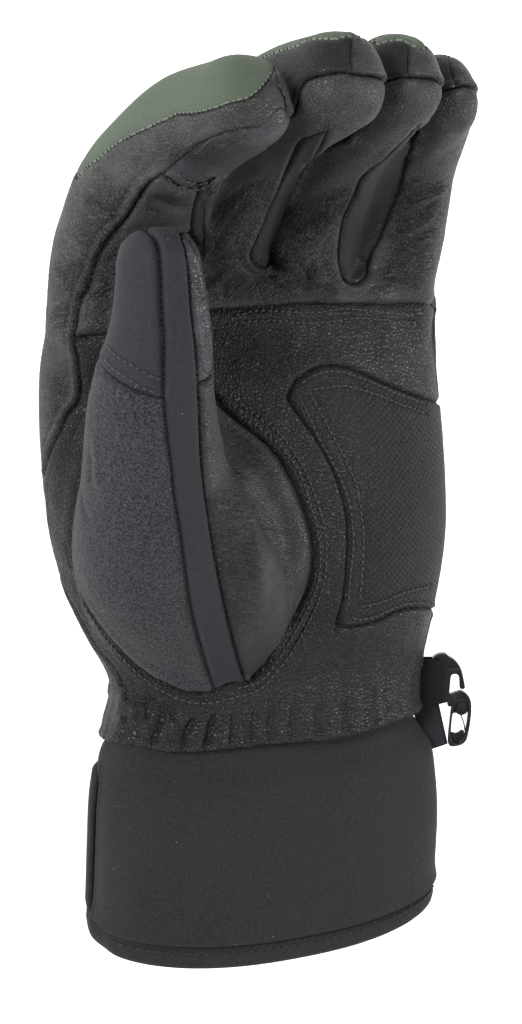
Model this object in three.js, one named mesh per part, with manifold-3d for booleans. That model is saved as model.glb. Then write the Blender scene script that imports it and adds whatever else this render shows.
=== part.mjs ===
// Waterproof winter glove for the left hand, lying on its back with the palm up and the fingers curled.
// Millimetres, +Z up, fingertips towards +Y, thumb side towards -X, cuff mouth near y = 0.
import * as THREE from 'three';
import Module from 'manifold-3d';
import { mergeVertices } from 'three/addons/utils/BufferGeometryUtils.js';

const wasm = await Module();
wasm.setup();

// Driving dimensions
const GAP = 0.3;
const WALL = 2.4;
const CUFF_WALL = 2.8;
const MID = 24;
const ROUNDNESS = 2.3;
const HAND_SIDES = 28;
const HAND_STEPS = 10;
const FINGER_SIDES = 16;
const THUMB_LEAN = THREE.MathUtils.degToRad(30);
const WRIST_Y = 81;
const PALM_SEAM_Y = 187;
const EDGE_PANEL_END_Y = 150;
const PIPING_Z = 26;
const BACK_SEAM_Z = 18;
const ULNAR_SEAM_Z = 30;
const EDGE_PANEL_X = -30;
const HAND_FRONT_Y = 205;
const FAR = 90;
const OVERLAP = 0.01;
const HOLLOW_RUN_OUT = 10;
const CAP_ARC = [0.45, 0.78, 0.96];
const SEAM_STEP = 0.01;

// Middle of the finished outline seen from above, which becomes the origin.
const MIDDLE = new THREE.Vector3(4.4, 133.7, 0);

// Sections. x, y and z are the centre, w is half the width, p the depth to the palm side and b to the back.
const SECTION = ['x', 'y', 'z', 'w', 'p', 'b'];
const HAND = table(SECTION, [
  [9, 81, MID, 48, 20, 24.5],
  [8, 100, MID, 55, 24, 25],
  [5, 125, MID, 61, 25, 25],
  [2, 150, MID, 62, 24, 25],
  [1.5, 172, 25, 61, 22, 25],
  [2, 188, 26.5, 60, 20, 21],
  [2, 196, 28, 58.5, 17.5, 15],
  [2, 200, 28.5, 55, 13, 10],
]);
const CUFF = table(SECTION, [
  [9, 17.6, 25, 55, 24.5, 25.5],
  [8.6, 34, 25, 54.3, 24.5, 25.5],
  [8.4, 48, 25, 53, 24, 25.5],
  [8.3, 57.5, 24.8, 50.3, 22, 24.2],
  [8, 62.5, 24.5, 46.6, 17.9, 21.2],
  [8.5, 74, 24, 45.6, 16.9, 20.6],
]);
const FINGERS = {
  index: table(SECTION, [
    [-43.5, 180, 26, 15.4, 16, 15],
    [-43.7, 199, 31, 15.4, 15.5, 15.2],
    [-44.7, 215, 41, 15, 15, 15],
    [-44, 227, 57, 14.6, 14.5, 14.5],
    [-41.5, 236, 75, 13.8, 13.5, 13.5],
    [-38, 241, 90, 12.8, 12.5, 12.5],
  ]),
  middle: table(SECTION, [
    [-11.8, 182, 26, 14.3, 15.5, 15],
    [-12.5, 202, 32, 14.3, 15, 15],
    [-14, 221, 43, 14, 14.5, 14.5],
    [-14, 236, 58, 13.6, 14, 14],
    [-12.3, 246, 76, 12.9, 13.5, 13.5],
    [-9.6, 251, 92, 12, 12.5, 12.5],
  ]),
  ring: table(SECTION, [
    [17.5, 182, 26, 13.7, 15, 14.8],
    [17, 202, 32, 13.7, 14.5, 14.5],
    [15.5, 220, 42, 13.4, 14, 14],
    [14, 235, 56, 12.8, 13.5, 13.5],
    [14.5, 245, 70, 12, 13, 13],
    [15, 250, 81, 11, 12, 12],
  ]),
  little: table(SECTION, [
    [46, 178, 26, 13.4, 14.5, 14.5],
    [45.4, 196, 30, 13.2, 14, 14],
    [44, 214, 38, 13, 13.5, 13.5],
    [41, 230, 50, 12.2, 13, 13],
    [39, 240.5, 61, 11.3, 12.3, 12.3],
    [36.8, 246.5, 71, 9.8, 11.5, 11.5],
  ]),
};
const THUMB = table(SECTION, [
  [-15, 88, 31, 21, 8, 16],
  [-24, 104, 41.5, 29, 14, 20],
  [-32.5, 124, 49, 27, 18, 20],
  [-39, 146, 56, 19, 18, 19],
  [-45, 168, 62, 15.5, 16.5, 17],
  [-49.5, 188, 67, 13, 15, 15],
  [-53, 203, 70, 10.5, 12.5, 12.5],
]);

// Panel edges as angles round a section: 0 towards the little finger, 90 palm side, 180 thumb side, 270 back.
const FINGER_SIDE_HALF = 45;
const FINGER_CAP_AT = 0.93;
const TOUCH_PAD_AT = 0.6;
const THUMB_ANGLES = { edge: 18, stripLow: 54, stripHigh: 84, wipeEnd: 214 };
const THUMB_HEM_AT = 0.7;
const THUMB_TAB_AT = 0.68;
const THUMB_CAP_AT = 0.95;

// Overlay on the heel of the palm, seen from above: corners from the inner top corner, clockwise.
const HEEL_OUTLINE = [[1, 168], [16, 172], [31, 169], [50, 161], [80, 150], [80, 98], [54, 102], [35, 101],
  [19, 95], [20, 107], [21, 124], [18, 138], [9, 156]];
const HEEL_THICK = 1.2;

const GATHER = { pleats: 22, pleatDepth: 0.9, thick: 2.4 };
const GATHER_ROWS = table(SECTION, [
  [8.5, 66, MID, 50, 22.2, 24.4],
  [8.7, 73.35, MID, 49.6, 21.6, 24.4],
  [9, WRIST_Y - GAP, MID, 48.6, 20.6, 24.5],
]);
const HEM = { height: 7.3, thick: 3.6 };
const MOUTH = { dropAtPalm: 5.7, tilt: 1.5, notch: 8, notchAt: 205, notchWidth: 18 };
const CUFF_SIDES = 32;
const CUFF_STATIONS = [0, 0.2, 0.4, 0.6, 0.8, 1];
const BINDING = { stations: [0, 0.2, 0.4, 0.6], from: 191.25, to: 213.75, thick: 1.4 };

// Fastening clip on the wrist, facing the thumb side by the same angle as the seam it hangs from.
const CLIP_TURN = THREE.MathUtils.degToRad(-30);
const CLIP_PLACE = new THREE.Vector3(62.3, 72.3, 30);
const CLIP_THICK = 3.2;
const CLIP_FRAME = { left: 0, low: 0, right: 10, high: 12, radius: 2.6 };
const CLIP_BAR_SLOT = { left: 1.9, low: 0.9, right: 4.4, high: 10.9, radius: 0.4 };
const CLIP_FREE_SLOT = { left: 5.9, low: 1.6, right: 8.3, high: 7.4, radius: 0.4 };
const CLIP_RING = { left: 4.6, low: -15.4, right: 11.4, high: 0.8, radius: 3 };
const CLIP_RING_HOLE = { left: 6.2, low: -13.6, right: 9.8, high: -1.2, radius: 1.6 };
const WEBBING = { low: 1.2, high: 10.6, left: -4.6, right: 3.7, thick: 1.2, slot: 3.8, radius: 1.2 };
const TAG_THICK = 0.9;
const TAG_OUTLINE = [[-5.4, -3.2], [2.1, -4.5], [4.2, -15.7], [-0.4, -17.2]];

const LOOKS = {
  softshell: { color: 0x4d5f4e, roughness: 0.85 },
  leather: { color: 0x2b2c2e, roughness: 0.55 },
  touchLeather: { color: 0x2e333d, roughness: 0.45 },
  palmLeather: { color: 0x252527, roughness: 0.6 },
  darkShell: { color: 0x2c2e36, roughness: 0.85 },
  fleece: { color: 0x3a3b40, roughness: 0.95 },
  neoprene: { color: 0x333338, roughness: 0.9 },
  plastic: { color: 0x17181a, roughness: 0.35 },
  webbing: { color: 0x131315, roughness: 0.9 },
  label: { color: 0x5f5663, roughness: 0.85 },
};

const glove = new THREE.Group();

function table(columns, rows) {
  return rows.map((row) => Object.fromEntries(columns.map((name, i) => [name, row[i]])));
}

function addPiece(name, look, geometry, parent = glove) {
  const mesh = new THREE.Mesh(geometry, new THREE.MeshStandardMaterial({ ...LOOKS[look], metalness: 0 }));
  mesh.name = name;
  parent.add(mesh);
  return mesh;
}

// Catmull-Rom value of every column of the table at u, from 0 at the first row to 1 at the last.
function rowAt(rows, u) {
  const place = Math.min(Math.max(u, 0), 1) * (rows.length - 1);
  const i = Math.min(Math.floor(place), rows.length - 2);
  const t = place - i;
  const pick = (k) => rows[Math.min(Math.max(k, 0), rows.length - 1)];
  const result = {};
  for (const name of SECTION) {
    const [a, b, c, d] = [pick(i - 1)[name], pick(i)[name], pick(i + 1)[name], pick(i + 2)[name]];
    const bend = (2 * a - 5 * b + 4 * c - d) * t + (-a + 3 * b - 3 * c + d) * t * t;
    result[name] = b + 0.5 * t * (c - a + bend);
  }
  return result;
}

// A limb's section at u: its centre, the two directions across it and its sizes.
function sectionAt(limb, u) {
  const row = rowAt(limb.rows, u);
  const centre = new THREE.Vector3(row.x, row.y, row.z);
  const along = new THREE.Vector3(0, 1, 0);
  if (!limb.straight) {
    const ahead = rowAt(limb.rows, u + 0.02);
    const behind = rowAt(limb.rows, u - 0.02);
    along.set(ahead.x - behind.x, ahead.y - behind.y, ahead.z - behind.z).normalize();
  }
  const side = limb.side.clone().addScaledVector(along, -limb.side.dot(along)).normalize();
  const front = new THREE.Vector3().crossVectors(side, along);
  return { centre, along, side, front, w: row.w, p: row.p, b: row.b };
}

// The rounded end past the last section, as sections that shrink along a quarter circle.
function capSections(limb) {
  const last = sectionAt(limb, 1);
  return CAP_ARC.map((k) => {
    const shrink = Math.sqrt(1 - k * k);
    const centre = last.centre.clone().addScaledVector(last.along, last.w * k);
    return { ...last, centre, w: last.w * shrink, p: last.p * shrink, b: last.b * shrink, shrink };
  });
}

// A point on a section's superellipse, moved in by inset and never lower than the surface below.
function sectionPoint(section, degrees, inset) {
  const angle = THREE.MathUtils.degToRad(degrees);
  const c = Math.cos(angle);
  const s = Math.sin(angle);
  const depth = s > 0 ? section.p : section.b;
  const keep = section.shrink ?? 1;
  const across = Math.sign(c) * Math.abs(c) ** (2 / ROUNDNESS) * Math.max(section.w - inset * keep, 0.5);
  const upward = Math.sign(s) * Math.abs(s) ** (2 / ROUNDNESS) * Math.max(depth - inset * keep, 0.5);
  const point = section.centre.clone();
  point.addScaledVector(section.side, across).addScaledVector(section.front, upward);
  point.z = Math.max(point.z, inset, 0);
  return point;
}

function geometryFrom(points, triangles) {
  let volume = 0;
  for (const [a, b, c] of triangles) {
    volume += points[a].dot(new THREE.Vector3().crossVectors(points[b], points[c]));
  }
  const geometry = new THREE.BufferGeometry();
  geometry.setFromPoints(points);
  geometry.setIndex(volume > 0 ? triangles.flat() : triangles.flatMap(([a, b, c]) => [a, c, b]));
  return geometry;
}

// A closed wall between an outer and an inner grid of points: a strip, or a tube when it closes round.
function wall(outer, inner, closed) {
  const rows = outer.length;
  const columns = outer[0].length;
  const points = [...outer.flat(), ...inner.flat()];
  const out = (i, j) => i * columns + (j % columns);
  const inn = (i, j) => rows * columns + out(i, j);
  const triangles = [];
  const quad = (a, b, c, d) => triangles.push([a, b, c], [a, c, d]);
  const spans = closed ? columns : columns - 1;
  for (let i = 0; i < rows - 1; i += 1) {
    for (let j = 0; j < spans; j += 1) {
      quad(out(i, j), out(i, j + 1), out(i + 1, j + 1), out(i + 1, j));
      quad(inn(i, j), inn(i + 1, j), inn(i + 1, j + 1), inn(i, j + 1));
    }
    if (!closed) {
      quad(out(i, 0), out(i + 1, 0), inn(i + 1, 0), inn(i, 0));
      quad(out(i, spans), inn(i, spans), inn(i + 1, spans), out(i + 1, spans));
    }
  }
  for (let j = 0; j < spans; j += 1) {
    quad(out(0, j), inn(0, j), inn(0, j + 1), out(0, j + 1));
    quad(out(rows - 1, j), out(rows - 1, j + 1), inn(rows - 1, j + 1), inn(rows - 1, j));
  }
  return geometryFrom(points, triangles);
}

// A closed solid through rings of points, with a flat fan over each end.
function plug(rings) {
  const columns = rings[0].length;
  const points = rings.flat();
  const triangles = [];
  const at = (i, j) => i * columns + (j % columns);
  for (let i = 0; i < rings.length - 1; i += 1) {
    for (let j = 0; j < columns; j += 1) {
      triangles.push([at(i, j), at(i, j + 1), at(i + 1, j + 1)], [at(i, j), at(i + 1, j + 1), at(i + 1, j)]);
    }
  }
  const middle = (ring) => ring.reduce((sum, p) => sum.add(p), new THREE.Vector3()).divideScalar(columns);
  points.push(middle(rings[0]), middle(rings.at(-1)));
  for (let j = 0; j < columns; j += 1) {
    triangles.push([points.length - 2, at(0, j + 1), at(0, j)]);
    triangles.push([points.length - 1, at(rings.length - 1, j), at(rings.length - 1, j + 1)]);
  }
  return geometryFrom(points, triangles);
}

// Evenly spaced values from one end to the other.
function spread(from, to, count) {
  return Array.from({ length: count + 1 }, (_, i) => from + (to - from) * i / count);
}

// The same for a full turn, without the last value that would repeat the first.
function turn(sides) {
  return spread(0, 360, sides).slice(0, -1);
}

function ringOf(section, inset, sides) {
  return turn(sides).map((degrees) => sectionPoint(section, degrees, inset));
}

// The whole outer form of a limb moved in by inset, closed at both ends.
function limbSolid(limb, inset, steps, withCap) {
  const sections = spread(0, 1, steps).map((u) => sectionAt(limb, u));
  const all = withCap ? [...sections, ...capSections(limb)] : sections;
  return plug(all.map((section) => ringOf(section, inset, limb.sides)));
}

// A strip of a limb's wall between two angles, from u0 to u1.
function strip(limb, [u0, u1], [low, high], steps = 7, columns = 4) {
  const middle = sectionAt(limb, (u0 + u1) / 2);
  const trim = THREE.MathUtils.radToDeg(GAP / 2 / Math.min(middle.w, middle.p));
  const angles = spread(low + trim, high - trim, columns);
  const sections = spread(u0, u1, steps).map((u) => sectionAt(limb, u));
  const grid = (inset) => sections.map((section) => angles.map((a) => sectionPoint(section, a, inset)));
  return wall(grid(0), grid(WALL), false);
}

// The hollow end of a limb beyond u, as a bowl.
function tipBowl(limb, u) {
  const sections = [sectionAt(limb, u), sectionAt(limb, 1), ...capSections(limb)];
  const outer = sections.map((section) => ringOf(section, 0, limb.sides));
  const inner = sections.slice(0, -1).map((section) => ringOf(section, WALL, limb.sides));
  const pit = new THREE.Vector3();
  inner.at(-1).forEach((p) => pit.addScaledVector(p, 1 / limb.sides));
  return geometryBowl(outer, inner, pit);
}

// A bowl between outer and inner rings, closed at the far end and joined round its rim.
function geometryBowl(outer, inner, pit) {
  const columns = outer[0].length;
  const points = [...outer.flat(), ...inner.flat()];
  const base = outer.length * columns;
  const at = (i, j) => i * columns + (j % columns);
  const triangles = [];
  const skin = (count, start, flip) => {
    for (let i = 0; i < count - 1; i += 1) {
      for (let j = 0; j < columns; j += 1) {
        const [a, b, c, d] = [at(i, j), at(i, j + 1), at(i + 1, j + 1), at(i + 1, j)].map((k) => k + start);
        triangles.push(...(flip ? [[a, c, b], [a, d, c]] : [[a, b, c], [a, c, d]]));
      }
    }
  };
  skin(outer.length, 0, false);
  skin(inner.length, base, true);
  const peak = new THREE.Vector3();
  outer.at(-1).forEach((p) => peak.addScaledVector(p, 1 / columns));
  points.push(peak, pit);
  for (let j = 0; j < columns; j += 1) {
    triangles.push([at(outer.length - 1, j), at(outer.length - 1, j + 1), points.length - 2]);
    triangles.push([base + at(inner.length - 1, j + 1), base + at(inner.length - 1, j), points.length - 1]);
    triangles.push([at(0, j + 1), at(0, j), base + at(0, j)]);
    triangles.push([at(0, j + 1), base + at(0, j), base + at(0, j + 1)]);
  }
  return geometryFrom(points, triangles);
}

function toSolid(source) {
  let geometry = source.clone();
  geometry.deleteAttribute('normal');
  geometry.deleteAttribute('uv');
  geometry = mergeVertices(geometry, 1e-5);
  return new wasm.Manifold(new wasm.Mesh({
    numProp: 3,
    vertProperties: new Float32Array(geometry.attributes.position.array),
    triVerts: new Uint32Array(geometry.index.array),
  }));
}

// The triangles of a solid, without the crumbs that a cut can leave beside its main body.
function fromSolid(solid) {
  const mesh = solid.getMesh();
  const count = mesh.vertProperties.length / mesh.numProp;
  const points = Array.from({ length: count }, (_, i) => new THREE.Vector3(
    ...mesh.vertProperties.slice(i * mesh.numProp, i * mesh.numProp + 3)));
  const owner = Array.from({ length: count }, (_, i) => i);
  const find = (i) => {
    let root = i;
    while (owner[root] !== root) root = owner[root];
    owner[i] = root;
    return root;
  };
  const triangles = [];
  for (let i = 0; i < mesh.triVerts.length; i += 3) {
    const [a, b, c] = mesh.triVerts.slice(i, i + 3);
    triangles.push([a, b, c]);
    owner[find(a)] = find(b);
    owner[find(b)] = find(c);
  }
  const bodies = new Map();
  for (const triangle of triangles) {
    const [a, b, c] = triangle.map((k) => points[k]);
    const body = bodies.get(find(triangle[0])) ?? { volume: 0, triangles: [] };
    body.volume += a.dot(new THREE.Vector3().crossVectors(b, c));
    body.triangles.push(triangle);
    bodies.set(find(triangle[0]), body);
  }
  const main = [...bodies.values()].reduce((best, body) => (body.volume > best.volume ? body : best));
  return geometryFrom(points, main.triangles);
}

// A right prism with its outline in the x-z plane, from y0 to y1.
function prismAlongY(outline, y0, y1) {
  const shape = new THREE.Shape(outline.map(([x, z]) => new THREE.Vector2(x, -z)));
  const geometry = new THREE.ExtrudeGeometry(shape, { depth: y1 - y0, bevelEnabled: false });
  geometry.rotateX(-Math.PI / 2);
  geometry.translate(0, y0, 0);
  return geometry;
}

// A right prism with its outline in the x-y plane, from z0 to z1.
function prismAlongZ(outline, z0, z1, holes = []) {
  const shape = new THREE.Shape(outline.map(([x, y]) => new THREE.Vector2(x, y)));
  shape.holes = holes.map((hole) => new THREE.Path(hole.map(([x, y]) => new THREE.Vector2(x, y))));
  const geometry = new THREE.ExtrudeGeometry(shape, { depth: z1 - z0, bevelEnabled: false });
  geometry.translate(0, 0, z0);
  return geometry;
}

const ACROSS = new THREE.Vector3(1, 0, 0);
const limbs = { hand: { rows: HAND, side: ACROSS, sides: HAND_SIDES, straight: true } };
for (const [name, rows] of Object.entries(FINGERS)) {
  limbs[name] = { rows, side: ACROSS, sides: FINGER_SIDES };
}
limbs.thumb = {
  rows: THUMB,
  side: new THREE.Vector3(Math.cos(THUMB_LEAN), 0, Math.sin(THUMB_LEAN)),
  sides: FINGER_SIDES,
};

// Hand: one hollow body with its front closed and holes where the fingers and the thumb start.
function handShell() {
  const inside = { ...limbs.hand, rows: HAND.map((row) => ({ ...row })) };
  inside.rows[0].y -= HOLLOW_RUN_OUT;
  inside.rows.at(-1).y -= WALL;
  inside.rows.at(-2).y -= WALL / 2;
  const hollow = toSolid(limbSolid(inside, WALL, HAND_STEPS, false));
  let shell = toSolid(limbSolid(limbs.hand, 0, HAND_STEPS, false)).subtract(hollow);
  for (const name of [...Object.keys(FINGERS), 'thumb']) {
    shell = shell.subtract(toSolid(limbSolid(limbs[name], WALL, 8, false)));
  }
  return shell;
}

// Height of the line that parts the palm from the back, across the hand.
const partingZ = (x) => PIPING_Z + (ULNAR_SEAM_Z - PIPING_Z) * (x + FAR) / (2 * FAR);

function addHand() {
  const shell = handShell();
  const cut = (outline, y0, y1) => shell.intersect(toSolid(prismAlongY(outline, y0, y1)));
  const half = GAP / 2;
  const above = [[FAR, partingZ(FAR) + half], [FAR, FAR], [-FAR, FAR]];
  const palm = [[-FAR, PIPING_Z + half], ...above];
  const wrap = [[-FAR, BACK_SEAM_Z + half], [EDGE_PANEL_X, BACK_SEAM_Z + half],
    [EDGE_PANEL_X, partingZ(EDGE_PANEL_X) + half], ...above];
  const edge = [[-FAR, BACK_SEAM_Z + half], [EDGE_PANEL_X - half, BACK_SEAM_Z + half],
    [EDGE_PANEL_X - half, partingZ(EDGE_PANEL_X) - half], [-FAR, PIPING_Z - half]];
  const back = [[-FAR, -FAR], [FAR, -FAR], [FAR, partingZ(FAR) - half],
    [EDGE_PANEL_X + half, partingZ(EDGE_PANEL_X) - half], [EDGE_PANEL_X + half, BACK_SEAM_Z - half],
    [-FAR, BACK_SEAM_Z - half]];
  const lowerPalm = cut(wrap, WRIST_Y, EDGE_PANEL_END_Y);
  const upperPalm = cut(palm, EDGE_PANEL_END_Y - OVERLAP, PALM_SEAM_Y - half);
  addPiece('palm_patch', 'palmLeather', fromSolid(lowerPalm.add(upperPalm)));
  addPiece('palm_leather', 'leather', fromSolid(cut(palm, PALM_SEAM_Y + half, HAND_FRONT_Y)));
  addPiece('hand_edge', 'leather', fromSolid(cut(edge, EDGE_PANEL_END_Y + GAP, HAND_FRONT_Y)));
  addPiece('hand_back', 'softshell', fromSolid(cut(back, WRIST_Y, HAND_FRONT_Y)));
}

// Fingers: each a palm strip, two side strips, a green back strip and a leather end.
function addFinger(name, hand, names) {
  const limb = limbs[name];
  const end = FINGER_CAP_AT - SEAM_STEP;
  const clear = (geometry) => fromSolid(toSolid(geometry).subtract(hand));
  const [low, high] = [FINGER_SIDE_HALF, 180 - FINGER_SIDE_HALF];
  if (names.pad) {
    addPiece(names.palm, 'leather', clear(strip(limb, [0, TOUCH_PAD_AT - SEAM_STEP / 2], [low, high], 5)));
    addPiece(names.pad, 'touchLeather', strip(limb, [TOUCH_PAD_AT, end], [low, high], 4));
  } else {
    addPiece(names.palm, 'leather', clear(strip(limb, [0, end], [low, high], 8)));
  }
  addPiece(names.thumbSide, 'leather', clear(strip(limb, [0, end], [high, 360 - high], 8)));
  addPiece(names.littleSide, 'leather', clear(strip(limb, [0, end], [-low, low], 8)));
  addPiece(names.back, 'softshell', clear(strip(limb, [0, end], [360 - high, 360 - low], 8)));
  addPiece(names.tip, 'leather', tipBowl(limb, FINGER_CAP_AT));
}

function addFingers() {
  const hand = toSolid(limbSolid(limbs.hand, -GAP, HAND_STEPS, false));
  for (const name of Object.keys(FINGERS)) {
    addFinger(name, hand, {
      palm: `${name}_palm`,
      pad: name === 'index' ? 'index_touch_pad' : null,
      thumbSide: `${name}_side_near`,
      littleSide: `${name}_side_far`,
      back: `${name}_back`,
      tip: `${name}_tip`,
    });
  }
  return hand;
}

// Thumb: a wipe panel, a softshell end, a strip along the ridge, a leather edge and the inner leather.
function addThumb(hand) {
  const limb = limbs.thumb;
  const { edge, stripLow, stripHigh, wipeEnd } = THUMB_ANGLES;
  const clear = (geometry) => fromSolid(toSolid(geometry).subtract(hand));
  const end = THUMB_CAP_AT - SEAM_STEP;
  const wipe = strip(limb, [0, THUMB_HEM_AT - SEAM_STEP / 3], [stripHigh, wipeEnd], 6, 7);
  addPiece('thumb_wipe', 'fleece', clear(wipe));
  const shell = toSolid(strip(limb, [THUMB_HEM_AT, 1], [stripHigh, wipeEnd], 4, 7));
  addPiece('thumb_tip', 'darkShell', fromSolid(shell.add(toSolid(tipBowl(limb, THUMB_CAP_AT)))));
  addPiece('thumb_strip', 'darkShell', clear(strip(limb, [0, end], [stripLow, stripHigh], 9, 2)));
  const lower = toSolid(strip(limb, [0, THUMB_TAB_AT - SEAM_STEP / 3], [wipeEnd - 360, stripLow], 6, 9));
  const upper = toSolid(strip(limb, [THUMB_TAB_AT - SEAM_STEP, end], [wipeEnd - 360, edge], 3, 8));
  addPiece('thumb_inner', 'leather', fromSolid(lower.add(upper).subtract(hand)));
  addPiece('thumb_edge', 'touchLeather', strip(limb, [THUMB_TAB_AT, end], [edge, stripLow], 3, 2));
}

// Heel overlay: a thin layer over the palm patch inside its outline.
function addHeelPatch() {
  const over = toSolid(limbSolid(limbs.hand, -GAP - HEEL_THICK, HAND_STEPS, false));
  const under = toSolid(limbSolid(limbs.hand, -GAP, HAND_STEPS, false));
  const outline = toSolid(prismAlongZ(HEEL_OUTLINE, ULNAR_SEAM_Z + WALL, FAR));
  addPiece('heel_patch', 'palmLeather', fromSolid(over.subtract(under).intersect(outline)));
}

// Gathered band that pulls the wrist in, with pleats round it.
function addGather() {
  const { pleats, pleatDepth, thick } = GATHER;
  const limb = { rows: GATHER_ROWS, side: ACROSS, straight: true };
  const sections = [0, 0.5, 1].map((u) => sectionAt(limb, u));
  const angles = turn(pleats * 2);
  const grid = (inset) => sections.map((section) => angles.map((degrees, i) => (
    sectionPoint(section, degrees, inset + (i % 2 ? pleatDepth : 0)))));
  addPiece('wrist_gather', 'palmLeather', wall(grid(0), grid(thick), true));
}

// Height of the cuff's mouth at an angle, from its height on the back: lowest under the palm, a little higher
// at the little finger, and with a rounded notch at the thumb side where the turned edge starts.
function mouthRise(degrees) {
  const angle = THREE.MathUtils.degToRad(degrees);
  const notch = MOUTH.notch * Math.exp(-(((degrees - MOUTH.notchAt) / MOUTH.notchWidth) ** 2));
  return MOUTH.tilt * Math.cos(angle) + notch - MOUTH.dropAtPalm * Math.max(0, Math.sin(angle)) ** 1.5;
}

function addCuff() {
  const limb = { rows: CUFF, side: ACROSS, straight: true };
  const angles = turn(CUFF_SIDES);
  const ring = (section, inset, move) => angles.map((a) => {
    const point = sectionPoint(section, a, inset);
    point.y += move(a);
    return point;
  });
  const bodyGrid = (inset) => CUFF_STATIONS.map((u) => (
    ring(sectionAt(limb, u), inset, (a) => mouthRise(a) * (1 - u))));
  addPiece('cuff', 'neoprene', wall(bodyGrid(0), bodyGrid(CUFF_WALL), true));
  const end = sectionAt(limb, 0);
  const top = CUFF[0].y - GAP;
  const hemGrid = (inset) => [top, top - HEM.height / 2, top - HEM.height].map((y) => (
    ring({ ...end, centre: new THREE.Vector3(end.centre.x, y, end.centre.z) }, inset, mouthRise)));
  addPiece('cuff_hem', 'neoprene', wall(hemGrid(CUFF_WALL - HEM.thick), hemGrid(CUFF_WALL), true));
}

// Turned edge that runs up the thumb side of the cuff.
function addBinding() {
  const limb = { rows: CUFF, side: ACROSS, straight: true };
  const { stations, from, to, thick } = BINDING;
  const grid = (inset) => stations.map((u) => spread(from, to, 2).map((degrees) => {
    const point = sectionPoint(sectionAt(limb, u), degrees, inset);
    point.y += mouthRise(degrees) * (1 - u);
    return point;
  }));
  addPiece('cuff_binding', 'neoprene', wall(grid(-GAP - thick), grid(-GAP), false));
}

// Corner points of a rectangle with rounded corners.
function roundedOutline({ left, low, right, high, radius }, steps = 3) {
  const corners = [
    [right - radius, high - radius, 0],
    [left + radius, high - radius, 90],
    [left + radius, low + radius, 180],
    [right - radius, low + radius, 270],
  ];
  return corners.flatMap(([x, y, start]) => spread(start, start + 90, steps).map((degrees) => {
    const angle = THREE.MathUtils.degToRad(degrees);
    return [x + radius * Math.cos(angle), y + radius * Math.sin(angle)];
  }));
}

// Clip: a frame held by a webbing loop on the wrist seam and a ring below it, moulded in one.
function addClip() {
  const clip = new THREE.Group();
  clip.position.copy(CLIP_PLACE);
  clip.rotation.y = CLIP_TURN;
  glove.add(clip);
  const plate = (outline, holes) => (
    toSolid(prismAlongZ(roundedOutline(outline), -CLIP_THICK / 2, CLIP_THICK / 2, holes.map((hole) => (
      roundedOutline(hole))))));
  const frame = plate(CLIP_FRAME, [CLIP_BAR_SLOT, CLIP_FREE_SLOT]);
  addPiece('clip', 'plastic', fromSolid(frame.add(plate(CLIP_RING, [CLIP_RING_HOLE]))), clip);

  const { low, high, left, right, thick, slot, radius } = WEBBING;
  const outside = { left, right, low: -slot / 2 - thick, high: slot / 2 + thick, radius };
  const inside = {
    left: left + thick,
    right: right - thick,
    low: -slot / 2,
    high: slot / 2,
    radius: radius / 2,
  };
  const webbing = prismAlongZ(roundedOutline(outside, 2), 0, high - low, [roundedOutline(inside, 2)]);
  webbing.rotateX(Math.PI / 2);
  webbing.translate(0, high, 0);
  addPiece('clip_webbing', 'webbing', webbing, clip);
  addPiece('tag', 'label', prismAlongZ(TAG_OUTLINE, -TAG_THICK / 2, TAG_THICK / 2), clip);
}

addHand();
const grownHand = addFingers();
addThumb(grownHand);
addHeelPatch();
addGather();
addCuff();
addBinding();
addClip();
glove.position.sub(MIDDLE);

export default glove;
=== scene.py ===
# Winter glove: panels cut from one smooth skin, seams, stitches, cuff, clip, materials, camera and light.
# Lengths are millimetres in the model's own axes until a mesh is made, then metres in the frame.
import math

import bpy
import numpy as np
from mathutils import Matrix, Vector, noise
from mathutils.bvhtree import BVHTree
from mathutils.kdtree import KDTree


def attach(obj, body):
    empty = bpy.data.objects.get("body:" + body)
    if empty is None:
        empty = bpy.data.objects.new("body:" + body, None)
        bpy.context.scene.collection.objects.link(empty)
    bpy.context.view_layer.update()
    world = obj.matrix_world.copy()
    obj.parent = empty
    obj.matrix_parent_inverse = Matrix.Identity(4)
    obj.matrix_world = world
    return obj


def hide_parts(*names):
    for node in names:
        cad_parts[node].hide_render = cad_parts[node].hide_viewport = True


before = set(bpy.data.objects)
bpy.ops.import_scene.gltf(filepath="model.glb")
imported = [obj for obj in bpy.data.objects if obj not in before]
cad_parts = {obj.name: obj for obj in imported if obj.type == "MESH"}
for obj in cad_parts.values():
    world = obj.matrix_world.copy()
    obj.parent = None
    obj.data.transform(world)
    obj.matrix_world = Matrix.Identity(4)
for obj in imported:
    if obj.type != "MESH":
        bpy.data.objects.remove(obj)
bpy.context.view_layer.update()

# Camera: turned towards the thumb side, tilted towards the fingertips.
VIEW_TURN = math.radians(30)
VIEW_TILT = math.radians(8)
VIEW_DISTANCE = 760.0
MM_PER_PIXEL = 0.285
VIEW_TARGET = np.array([0.0, 130.0, 24.0])
TARGET_PIXEL = (238.0, 514.0)
PICTURE = (522, 1024)

ORIGIN = np.array([4.4, 133.7, 0.0])
VOXEL = 0.9
# Rings and sides of the limbs' meshes, and how long their rounded ends are in half widths.
HAND_MESH = (80, 140)
FINGER_MESH = (60, 72)
FINGER_CAP = 1.0
THUMB_CAP = 0.95
# Smoothing of the remeshed skin, as weight and rounds: all over, and then where the hand and the thumb meet,
# fading with the square of the distance. The skin is swelled out a little again after it.
RELAX_ALL = (0.5, 3)
RELAX_HOLLOWS = (0.6, 140)
HOLLOW_FADE = 90
SWELL = 0.4
# Rings along a channel between fingers, and how deep its body is.
CHANNEL_RINGS = 44
CHANNEL_BACK = 8.0
MID = 24.0
ROUNDNESS = 2.3
WRIST_Y = 81.0

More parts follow.
